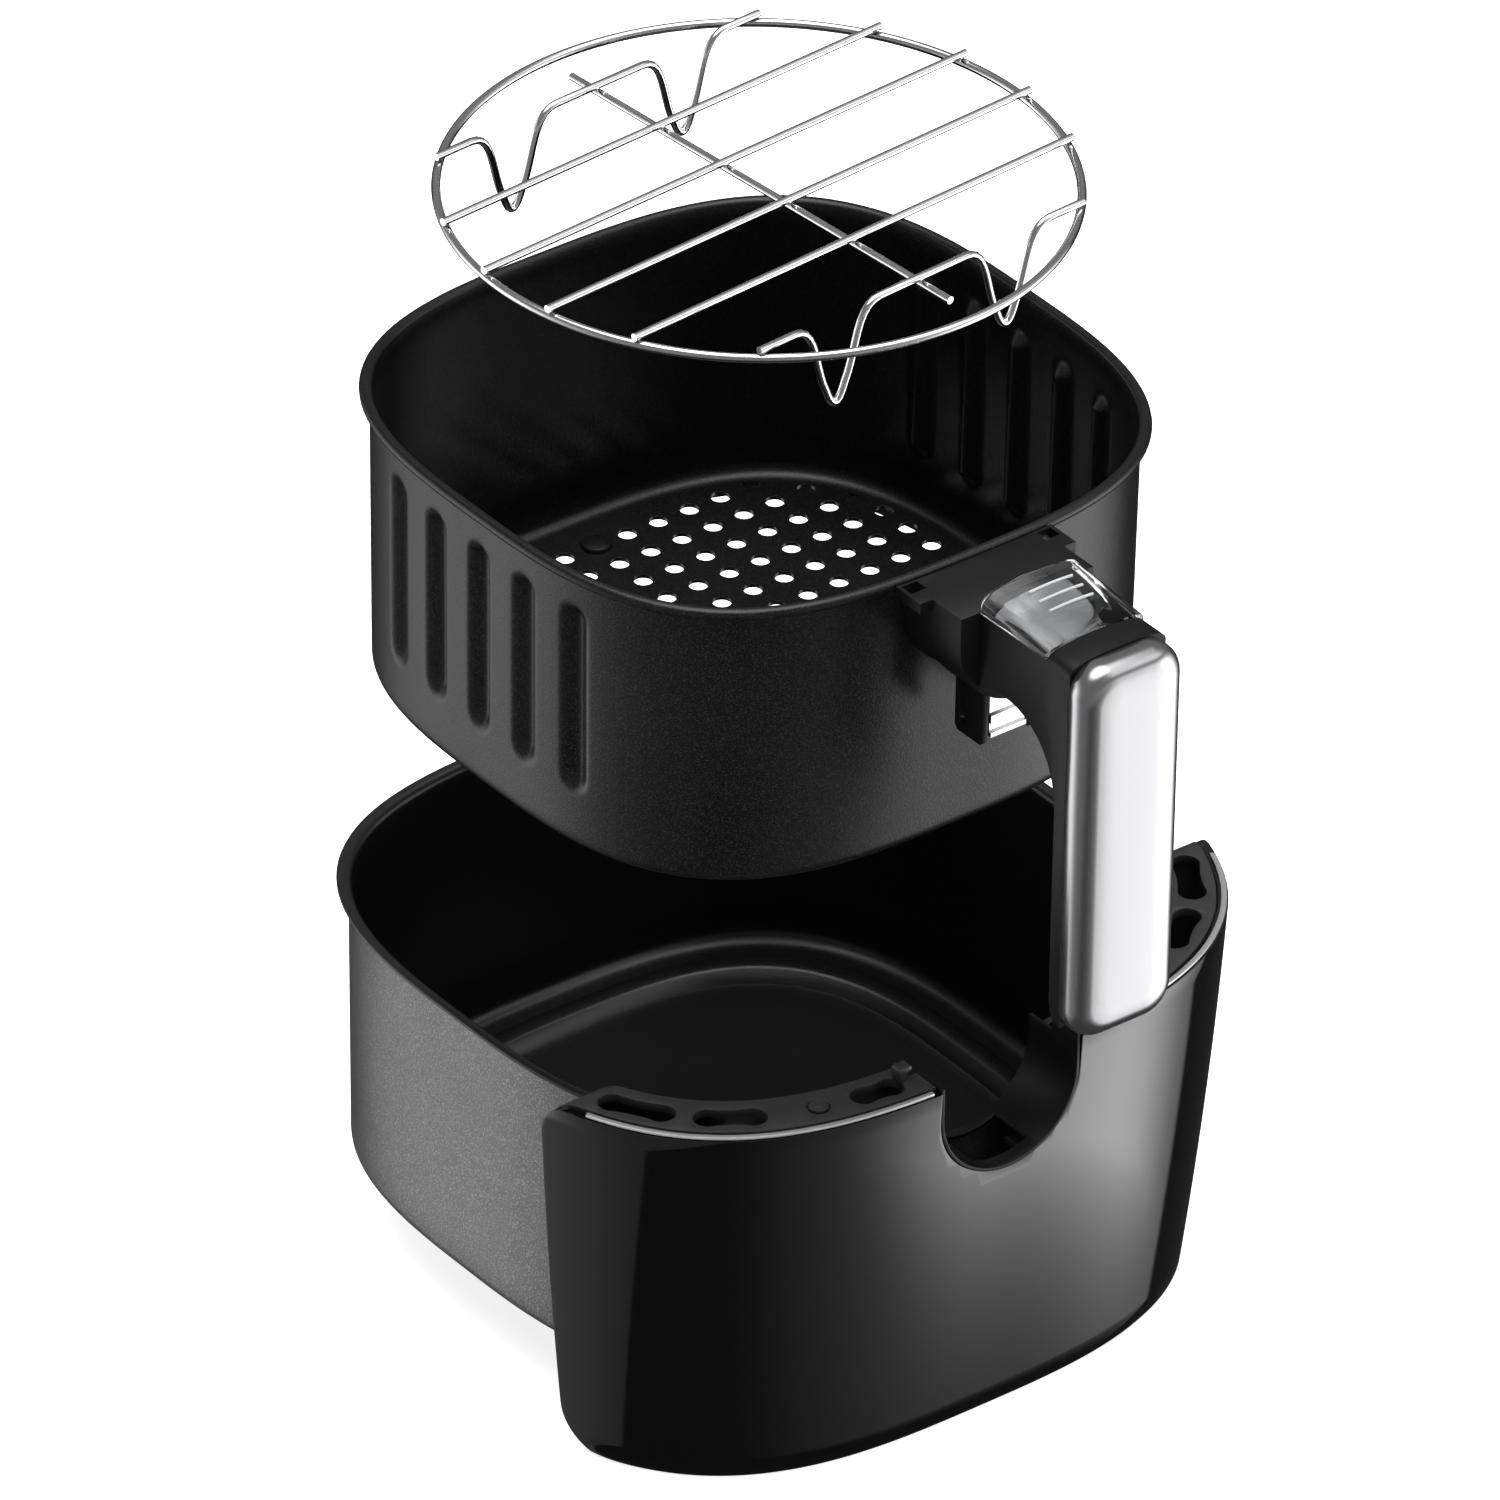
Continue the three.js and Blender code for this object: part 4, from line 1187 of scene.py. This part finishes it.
# ---------------------------------------------------------------- basket
@dataclass
class Basket(Piece):
    """The basket with its rolled rim, pressed grooves and perforated floor."""

    bead_half: float = 110.2
    bead_radius: float = 2.0
    wall_half: float = 109.2
    base_half: float = 108.2
    sheet: float = 1.4
    depth: float = 103.0
    power: float = 3.03
    fillet: float = 5.0
    floor_rise: float = 6.1
    floor_half: float = 94.0
    groove_depth: float = 4.0
    groove_width: float = 12.4
    groove_spacing: float = 23.0
    groove_top: float = -11.0
    groove_bottom: float = -82.0
    groove_zone: Point2 = (-91.0, -1.0)
    hole_pitch: float = 12.6
    hole_radius: float = 3.2
    field_half: float = 96.0
    hole_columns: int = 15
    hole_rows: int = 14
    boss_place: float = 81.9

    def levels(self) -> list[Point2]:
        """The closed section of the wall: up outside, round the bead and down inside.

        Returns:
            Pairs of half size and height.
        """
        t, bottom, r = self.sheet, -self.depth, self.fillet
        slope = (self.wall_half - self.base_half) / self.depth
        outer = [(self.floor_half + 0.2, bottom + self.floor_rise), (self.floor_half + 1.2, bottom + 5.6)]
        outer += [(self.floor_half + 3.4, bottom + 0.6), (self.floor_half + 4.2, bottom)]
        outer += arc(self.base_half - r, bottom + r, r, -90, 0, 7)
        rows = [-96, -90, -86, -83.5, -82, -80.8, -79.6, -78.4, -77.2, -76, -74.5, -72]
        rows += [-64, -56, -48, -40, -32, -24, -21, -18.8, -17, -15.8, -14.6, -13.4, -12.2, -11]
        rows += [-9.4, -7, -4.5]
        outer += [(self.wall_half + z * slope, z) for z in rows]
        bead = arc(self.bead_half, 0, self.bead_radius, -120, 160, 16)
        inner = [(self.wall_half - t + z * slope, z) for z in reversed(rows)]
        foot = arc(self.base_half - r - t * 0.5, bottom + r + t * 0.7, r - 0.6, 0, -90, 7)
        step = [(self.floor_half + 5.2, bottom + t + 0.1), (self.floor_half + 3.6, bottom + 2.2)]
        step += [(self.floor_half + 1.0, bottom + 6.9), (self.floor_half + 0.2, bottom + 7.5)]
        return outer + bead + inner + foot + step

    def angles(self) -> list[float]:
        """Columns, close together where the grooves are.

        Returns:
            Their angles in radians.
        """
        half, found = self.wall_half, []
        for i in range(-52, 53):
            y = i * 1.1
            x = half * (1 - (abs(y) / half) ** self.power) ** (1 / self.power)
            found += [math.atan2(x, -y), math.atan2(-x, -y)]
        edge = max(a for a in found if a > 0)
        low = min(a for a in found if a > 0)
        found += [low * i / 34 for i in range(-33, 34)]
        found += [edge + (2 * math.pi - 2 * edge) * i / 68 for i in range(1, 68)]
        return sorted(a % (2 * math.pi) for a in found)

    def pressed(self, y: float, z: float) -> float:
        """How deep the side wall is pressed in at a place, in millimetres.

        Args:
            y: the place along the wall.
            z: its height.

        Returns:
            The depth.
        """
        nearest = min(max(round(y / self.groove_spacing), -2), 2) * self.groove_spacing
        r = self.groove_width / 2
        low, high = self.groove_bottom + r, self.groove_top - r
        away = math.hypot(y - nearest, z - min(max(z, low), high))
        return self.groove_depth * eased(clamp((r - away) / r))

    def build_wall(self) -> None:
        """The wall with its bead and grooves."""
        points, faces = vessel(self.levels(), self.angles(), self.power, closed=True)
        for point in points:
            x, y, z = point
            low, high = self.groove_zone
            if low < z < high and abs(x) > max(abs(y), self.floor_half + 4):
                depth = self.pressed(y, z)
                lean = math.atan((abs(y) / abs(x)) ** (self.power - 1)) * math.copysign(1, y)
                point[0] -= math.copysign(depth * math.cos(lean), x)
                point[1] -= depth * math.sin(lean)
        made = make_object("basket_wall", points, faces, self.lift)
        self.dress(smooth(made, 40), Slot.BASKET, Body.BASKET, "basket_body")

    def build_floor(self) -> None:
        """The raised floor with its drain holes and two small bosses."""
        low, high = -self.depth + self.floor_rise, -self.depth + self.floor_rise + self.sheet
        half = self.floor_half + 0.6
        outline = [superellipse(a, half, half, self.power) for a in even_angles(120)]
        plate = prism("basket_floor", outline, "z", low, high, self.lift)
        drain_tree().apply(
            plate, pitch=self.hole_pitch * MM, hole_radius=self.hole_radius * MM,
            columns=self.hole_columns, rows=self.hole_rows, field_half=self.field_half * MM,
            depth=6 * MM, height=(low + self.lift) * MM, material=self.palette[Slot.BASKET],
        )
        soften(plate, 0.25, 1, 50)
        self.dress(smooth(plate), Slot.BASKET, Body.BASKET)
        for side, word in ((-1, "front"), (1, "back")):
            rings = [
                [(x, y, z) for x, y in screw_outline(0, side * self.boss_place, radius, 28)]
                for radius, z in ((5.2, high - 0.4), (5.2, high + 0.5), (4.7, high + 1.3), (3.6, high + 1.6))
            ]
            boss = loft(f"floor_boss_{word}", rings, self.lift)
            self.dress(smooth(boss), Slot.BASKET, Body.BASKET)

    def build(self) -> None:
        """Makes the basket."""
        self.build_wall()
        self.build_floor()


# ---------------------------------------------------------------- handle
@dataclass
class Handle(Piece):
    """The bracket on the basket's wall, the arm and grip, its cover, button and guard."""

    wall_half: float = 109.5
    power: float = 3.03
    plug_radius: float = 26.2
    plug_center: float = -10.0
    front: float = -139.5
    arm_half: float = 19.0
    grip_back: float = -179.0
    grip_front: float = -184.7
    grip_bottom: float = -130.0
    cover_half: float = 20.0
    cover_top: float = 4.5
    cover_bottom: float = -133.0
    plate: Corners = ((-30.8, 30.8), (-124.8, -100), (-3, 1))
    lug_faces: Point2 = (8.5, 10.5)
    lug_hole: Point3 = (-122, -51, 1.6)
    latch_bay: Corners = ((-8, 8), (-136.5, -119), (-60, -8))
    lever_half: float = 5.0
    lever_heights: Point2 = (-20.6, -12)
    button_well: Corners = ((-14.6, 14.6), (-170, -143), (-11, 30))
    stem_hole: Corners = ((-4, 4), (-163.6, -155.4), (-20.6, -10))
    stem: Corners = ((-3.6, 3.6), (-163.1, -155.9), (-13.4, 1.8))
    spring_seat: Point2 = (-159.5, 6.7)
    band_back: float = -173.4
    grip_screws: Point2 = (-72, -112)
    grip_bore: float = 1.8
    grip_head_bore: float = 3.5
    guard_half: float = 19.4
    guard_sheet: float = 1.4
    guard_front: Point2 = (-173.0, 5.2)
    guard_back: Point2 = (-140.5, 9.6)

    def basket_core(self) -> Thing:
        """The space that the basket's wall and rim take, as a tool.

        Returns:
            The tool.
        """
        half, rim = self.wall_half, self.wall_half + 3.4
        levels = [(half, -140), (half, -3.6), (rim, -3.5), (rim, 30)]
        points, faces = vessel(levels, even_angles(160), self.power, closed=False)
        return make_object("core", points, faces, self.lift)

    def build_bracket(self) -> None:
        """The block behind the arm: plug, top plate, lugs and moulding recesses."""
        lift = self.lift
        outline = u_outline(self.plug_radius, 1, self.plug_center)
        made = prism("bracket", outline, "y", self.front, -100, lift)
        adds = [box("plate", *self.plate, lift)]
        lug = [(-132.3, -30), (-132.3, -54.5), (-130.8, -56), (-119.4, -56), (-118, -54.6), (-118, -30)]
        for side in (-1, 1):
            adds.append(prism("lug", lug, "x", *sorted(side * x for x in self.lug_faces), lift))
        combine(made, adds, "UNION")
        lever = (-self.lever_half, self.lever_half)
        tools = [self.basket_core(), box("bay", *self.latch_bay, lift)]
        tools.append(box("channel", lever, (self.front - 1, -136), self.lever_heights, lift))
        recesses = (
            ("window", 26.5, 3, (-118.5, -113.5), (-5, 3)), ("recess", 19.5, 4, (-124, -114), (-60, -6)),
            ("rib_gap", 29, 1.6, (-123.4, -120), (-5, -1.2)),
        )
        for side in (-1, 1):
            for name, x, half, y, z in recesses:
                tools.append(box(name, (side * x - half, side * x + half), y, z, lift))
        tools.append(prism("lug_hole", screw_outline(*self.lug_hole), "x", -12, 12, lift))
        combine(made, tools)
        soften(made, 0.3, 2)
        self.dress(smooth(made), Slot.HANDLE, Body.BASKET, "handle_bracket")

    def build_arm(self) -> None:
        """The arm and the grip's core in one curve, with the button's well."""
        lift, back = self.lift, self.front - 0.3
        outline = [
            (back, 1), (back, -26), *bezier([(back, -26), (-150, -21.5), (-160, -24)]),
            *bezier([(-160, -24), (-172, -28), (self.grip_back, -38), (self.grip_back, -54)], 20),
            (self.grip_back, self.grip_bottom + 8),
            *bezier([
                (self.grip_back, self.grip_bottom + 8), (self.grip_back, self.grip_bottom + 1),
                (self.grip_front, self.grip_bottom),
            ]),
            (self.grip_front, 1),
        ]
        made = prism("arm", outline, "x", -self.arm_half, self.arm_half, lift)
        band = prism("band", arch(self.arm_half, -2, 5.2), "y", self.grip_front, self.band_back, lift)
        combine(made, [band], "UNION")
        lever = (-self.lever_half, self.lever_half)
        tools = [box("well", *self.button_well, lift)]
        tools.append(box("channel", lever, (-163, back + 5), self.lever_heights, lift))
        tools.append(box("stem_hole", *self.stem_hole, lift))
        for z in self.grip_screws:
            tools.append(prism("bore", screw_outline(0, z, self.grip_bore), "y", -220, -150, lift))
            tools.append(prism("head_bore", screw_outline(0, z, self.grip_head_bore), "y", -181, -150, lift))
        combine(made, tools)
        soften(made, 1.0, 3)
        self.dress(smooth(made), Slot.HANDLE, Body.BASKET, "handle_arm")

    def build_cover(self) -> None:
        """The satin cover: straight flank, broad rounded chamfer and a slightly crowned face."""
        back, front = self.grip_front - 0.3, self.grip_front - 10.3
        profile = [(3.0, -6.0), (3.0, 0.0), (0.25, 0.0), (0.0, -0.3), (0.0, -3.6)]
        profile += [(6.2 - 6.2 * math.cos(math.radians(t)), -3.6 - 6.2 * math.sin(math.radians(t)))
                    for t in range(8, 89, 8)]
        profile.append((9.0, -9.95))
        rings = []
        for inset, y in profile:
            half, corner = self.cover_half - inset, 11.0 - 0.6 * inset
            outline = rounded_plate(half, self.cover_bottom + inset, self.cover_top - inset, corner)
            rings.append([(x, back + y, z) for x, z in outline])
        outline = rounded_plate(8, self.cover_bottom + 12, self.cover_top - 12, 2.5)
        rings.append([(x, front, z) for x, z in outline])
        made = loft("grip_cover_shell", rings, self.lift)
        self.dress(smooth(made, 50), Slot.COVER, Body.BASKET, "grip_cover")

    def build_guard(self) -> None:
        """The clear guard and its three fine ridges."""
        half, sheet, lift = self.guard_half, self.guard_sheet, self.lift
        front, back = self.guard_front, self.guard_back
        outer = [[(x, y, z) for x, z in arch(half, 1.3, crown)] for y, crown in (front, back)]
        made = loft("guard", outer, lift)
        inner = [
            [(x, y, z) for x, z in arch(half - sheet, -0.7, crown - sheet)]
            for y, crown in ((front[0] - 0.5, front[1]), (back[0] + 0.5, back[1]))
        ]
        combine(made, [loft("hollow", inner, lift)])
        soften(made, 0.3, 2)
        self.dress(smooth(made), Slot.CLEAR, Body.GUARD, "button_guard")
        crown = [p for p in arch(half, 1.3, 7.3) if abs(p[0]) < 9.6 and p[1] > 5][::-1]
        path = [(x + 2.0, -158.6, z - 0.15) for x, z in crown]
        ridges = chain_object("guard_ridges", [(path, False)], 0.0)
        for vertex in ridges.data.vertices:
            vertex.co += Vector((0, 0, lift * MM))
        ridge_tree().apply(
            ridges, radius=0.5 * MM, pitch=5.2 * MM, fall=0.7 * MM, count=3, material=self.palette.frosted,
        )
        self.dress(smooth(ridges), Slot.CLEAR, Body.GUARD)
        ridges.data.materials[0] = self.palette.frosted

    def build_button(self) -> None:
        """The release button under the guard."""
        made = prism("button", arch(14.3, -2.5, 3.1), "y", -169.7, -143.3, self.lift)
        combine(made, [prism("spring_seat", screw_outline(0, *self.spring_seat), "z", -4, 1.5, self.lift)])
        combine(made, [box("stem", *self.stem, self.lift)], "UNION")
        soften(made, 0.5, 2)
        self.dress(smooth(made), Slot.TRIM, Body.BUTTON, "release_button")

    def build(self) -> None:
        """Makes the handle."""
        self.build_bracket()
        self.build_arm()
        self.build_cover()
        self.build_guard()
        self.build_button()


# ---------------------------------------------------------------- rack
@dataclass
class Rack(Piece):
    """The wire rack: ring, straight wires, cross wire and two wires bent into feet."""

    turn: float = 4.5
    ring_radius: float = 101.5
    ring_wire: float = 1.5
    wire: float = 1.3
    leg_height: float = 28.5
    leg_spread: float = 36.0
    leg_half: float = 18.0
    leg_place: float = 76.0
    cross_half: float = 89.0
    straight_places: tuple[float, ...] = (45, 15, -15, -45)

    @property
    def top(self) -> float:
        """The height of the straight wires' middle lines."""
        return self.ring_wire + self.wire + 0.3

    def turned(self, chain: Sequence[Point3]) -> list[Point3]:
        """A chain turned with the rack."""
        c, s = math.cos(math.radians(self.turn)), math.sin(math.radians(self.turn))
        return [(x * c - y * s, x * s + y * c, z) for x, y, z in chain]

    def leg_chain(self, y: float) -> list[Point3]:
        """The middle line of an outer wire with its two feet.

        Args:
            y: the wire's distance from the middle.

        Returns:
            The line.
        """
        half = math.sqrt(self.ring_radius ** 2 - y * y) + 1
        top, low, w = self.top, -self.leg_height, self.leg_half
        line: list[Point2] = [(-half, top)]
        for x in (-self.leg_spread, self.leg_spread):
            line.append((x - w, top))
            line += bezier([(x - w, top), (x - 8, top), (x - 9, low + 16), (x - 4, low + 6)], 10)
            line += bezier([(x - 4, low + 6), (x - 2, low), (x, low)], 6)
            line += bezier([(x, low), (x + 2, low), (x + 4, low + 6)], 6)
            line += bezier([(x + 4, low + 6), (x + 9, low + 16), (x + 8, top), (x + w, top)], 10)
        line.append((half, top))
        return self.turned([(x, y, z) for x, z in line])

    def build(self) -> None:
        """Makes the rack's wires."""
        graph = wire_tree()
        ring = [(*superellipse(a, self.ring_radius, self.ring_radius, 2), 0.0) for a in even_angles(160)]
        straight = []
        for y in self.straight_places:
            half = math.sqrt(self.ring_radius ** 2 - y * y) + 1.5
            straight.append((self.turned([(-half, y, self.top), (half, y, self.top)]), False))
        low = self.top - 2 * self.wire - 0.3
        cross = self.turned([(0, -self.cross_half, low), (0, self.cross_half, low)])
        back, front = self.leg_chain(self.leg_place), self.leg_chain(-self.leg_place)
        jobs = [
            ("ring", [(ring, True)], self.ring_wire, ["rack_ring"]),
            ("straight_wires", straight, self.wire, [f"rack_wire_{i}" for i in range(1, 5)]),
            ("leg_wire_back", [(back, False)], self.wire, ["rack_leg_wire_back"]),
            ("leg_wire_front", [(front, False)], self.wire, ["rack_leg_wire_front"]),
            ("cross_wire", [(cross, False)], self.wire, ["rack_cross_wire"]),
        ]
        for name, chains, radius, nodes in jobs:
            made = chain_object(name, chains, self.lift)
            graph.apply(made, radius=radius * MM, material=self.palette[Slot.WIRE])
            self.dress(smooth(made), Slot.WIRE, Body.RACK, *nodes)


# ---------------------------------------------------------------- small metal pieces
@dataclass
class SmallParts(Piece):
    """The CAD nodes whose shape is right and that only need a finish."""

    steel: tuple[str, ...] = (
        "latch_catch", "pan_strap_left", "pan_strap_right", "panel_screw_left", "panel_screw_right",
        "grip_screw_1", "grip_screw_2", "button_spring", "latch_pin", "latch_spring",
        "bracket_rivet_left", "bracket_rivet_right",
    )
    chromed: tuple[str, ...] = ("latch_lever",)

    def build(self) -> None:
        """Dresses each node."""
        for names, slot in ((self.steel, Slot.STEEL), (self.chromed, Slot.LEVER)):
            for name in names:
                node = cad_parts[name]
                if not node.material_slots:
                    node.data.materials.append(self.palette[slot])
                for held in node.material_slots:
                    held.material = self.palette[slot]
                LOG.info("%s dressed", name)


# ---------------------------------------------------------------- studio
@dataclass
class Studio:
    """Floor, soft light all round and the camera."""

    floor_height: float
    rim_height: float
    azimuth: float = -38.0
    elevation: float = 33.17
    roll: float = 1.045
    distance: float = 5.4
    lens: float = 409.4
    aim_right: float = 0.0016
    aim_up: float = 0.1096

    def build_floor(self) -> None:
        """A pale sweep that soft shadows fall on."""
        size = 30.0
        mesh = bpy.data.meshes.new("floor")
        corners = [(-size, -size), (size, -size), (size, size), (-size, size)]
        mesh.from_pydata([(x, y, self.floor_height) for x, y in corners], [], [(0, 1, 2, 3)])
        floor = bpy.data.objects.new("floor", mesh)
        bpy.context.scene.collection.objects.link(floor)
        material = bpy.data.materials.new("pale_floor")
        material.use_nodes = True
        nodes = Nodes(material.node_tree)
        tone = nodes.mix(nodes.noise(3.0), (0.90, 0.90, 0.90), (0.93, 0.93, 0.93))
        shader = nodes.add("ShaderNodeBsdfPrincipled", None, {
            "Base Color": tone, "Roughness": 0.9, "Emission Color": (1.0, 1.0, 1.0, 1.0),
            "Emission Strength": 0.8, "Specular IOR Level": 0.0,
        })
        out = nodes.add("ShaderNodeOutputMaterial")
        nodes.tree.links.new(shader.outputs[0], out.inputs[0])
        mesh.materials.append(material)
        floor.visible_glossy = False

    def build_world(self) -> None:
        """A dim room with soft panels on the right, on the left and above.

        Directions are in degrees. The turn is 0 along the handle and grows towards +X, and the height
        is 0 at the horizon.
        """
        world = bpy.data.worlds.new("studio")
        bpy.context.scene.world = world
        world.use_nodes = True
        nodes = Nodes(world.node_tree)
        direction = nodes.value("ShaderNodeTexCoord", output="Generated")
        way = nodes.add("ShaderNodeSeparateXYZ", None, {0: direction})
        x, y, z = (Value(nodes, socket) for socket in way.outputs)
        turn = x.math("ARCTAN2", y * -1.0) * (180 / math.pi)
        height = z.math("ARCSINE") * (180 / math.pi)
        # The right panel: its outer edges, a wide wash, and a bright middle that falls off downwards.
        ends = turn.step(90, 86) * height.step(-62, -50) * height.step(20, -5)
        foot = height.step(-54, -38)
        wash = (turn.step(-32, 30) * 0.26 + turn.step(-50, 0) * 0.04) * foot * ends
        drop = ((height + 40.0) * 0.7).math("EXPONENT").math("MINIMUM", 1.25)
        hot = turn.bell(53, 20) * drop * ends * 2.9
        # The left panel: a dim sheet with a slanting edge, and a brighter one above it.
        edge = (turn - (height + 40.0) * 2.6).step(-70, -73)
        low = (turn.step(-72, -125) * 0.24 + 0.19) * edge * (foot * 0.6 + 0.4)
        high = (turn.bell(-138, 22) * 1.9 + turn.bell(-175, 18) * 0.12) * height.step(-39, -33)
        left = (low * turn.step(-178, -150) + high) * height.step(25, -5)
        # A ceiling panel, a smaller one high on the right, and the room's own glow.
        above = height.step(50, 76) * 5.0
        upper = turn.bell(45, 24) * height.step(18, 34) * height.step(74, 52) * 1.6
        room = height.step(-12, 25) * 0.2 + 0.03
        light = wash + hot + left + upper + above + room
        seen = nodes.value("ShaderNodeLightPath", output="Is Camera Ray")
        strength = light * (1.0 - seen) + seen
        background = nodes.add("ShaderNodeBackground", None, {
            "Color": (1.0, 1.0, 1.0, 1.0), "Strength": strength,
        })
        out = nodes.add("ShaderNodeOutputWorld")
        nodes.tree.links.new(background.outputs[0], out.inputs[0])

    def build_camera(self) -> None:
        """The camera: a long lens, high on the left of the handle."""
        az, el, roll = (math.radians(v) for v in (self.azimuth, self.elevation, self.roll))
        back = Vector((math.sin(az) * math.cos(el), -math.cos(az) * math.cos(el), math.sin(el)))
        level = Vector((math.cos(az), math.sin(az), 0.0))
        upright = back.cross(level)
        right = math.cos(roll) * level + math.sin(roll) * upright
        up = math.cos(roll) * upright - math.sin(roll) * level
        place = Vector((0, 0, self.rim_height)) + back * self.distance
        place -= right * self.aim_right + up * self.aim_up
        data = bpy.data.cameras.new("camera")
        data.lens, data.sensor_width = self.lens, 36.0
        data.clip_end = 100.0
        camera = bpy.data.objects.new("camera", data)
        axes = Matrix((right, up, back)).transposed().to_4x4()
        camera.matrix_world = Matrix.Translation(place) @ axes
        bpy.context.scene.collection.objects.link(camera)
        bpy.context.scene.camera = camera

    def build(self) -> None:
        """Makes the studio."""
        self.build_floor()
        self.build_world()
        self.build_camera()
        bpy.context.scene.view_settings.view_transform = "Standard"


def main() -> None:
    """Builds every sub-assembly in order."""
    logging.basicConfig(level=logging.INFO, format="%(message)s")
    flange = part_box("pan_body")[1].z / MM - Pan.sheet
    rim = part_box("basket_body")[1].z / MM - Basket.bead_radius
    low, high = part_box("rack_ring")
    palette = Palette()
    Studio(floor_height=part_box("front_panel")[0].z, rim_height=rim * MM).build()
    Pan(palette, flange).build()
    FrontPanel(palette, flange).build()
    Basket(palette, rim).build()
    Handle(palette, rim).build()
    Rack(palette, (low.z + high.z) / 2 / MM).build()
    SmallParts(palette).build()


if __name__ == "__main__":
    main()
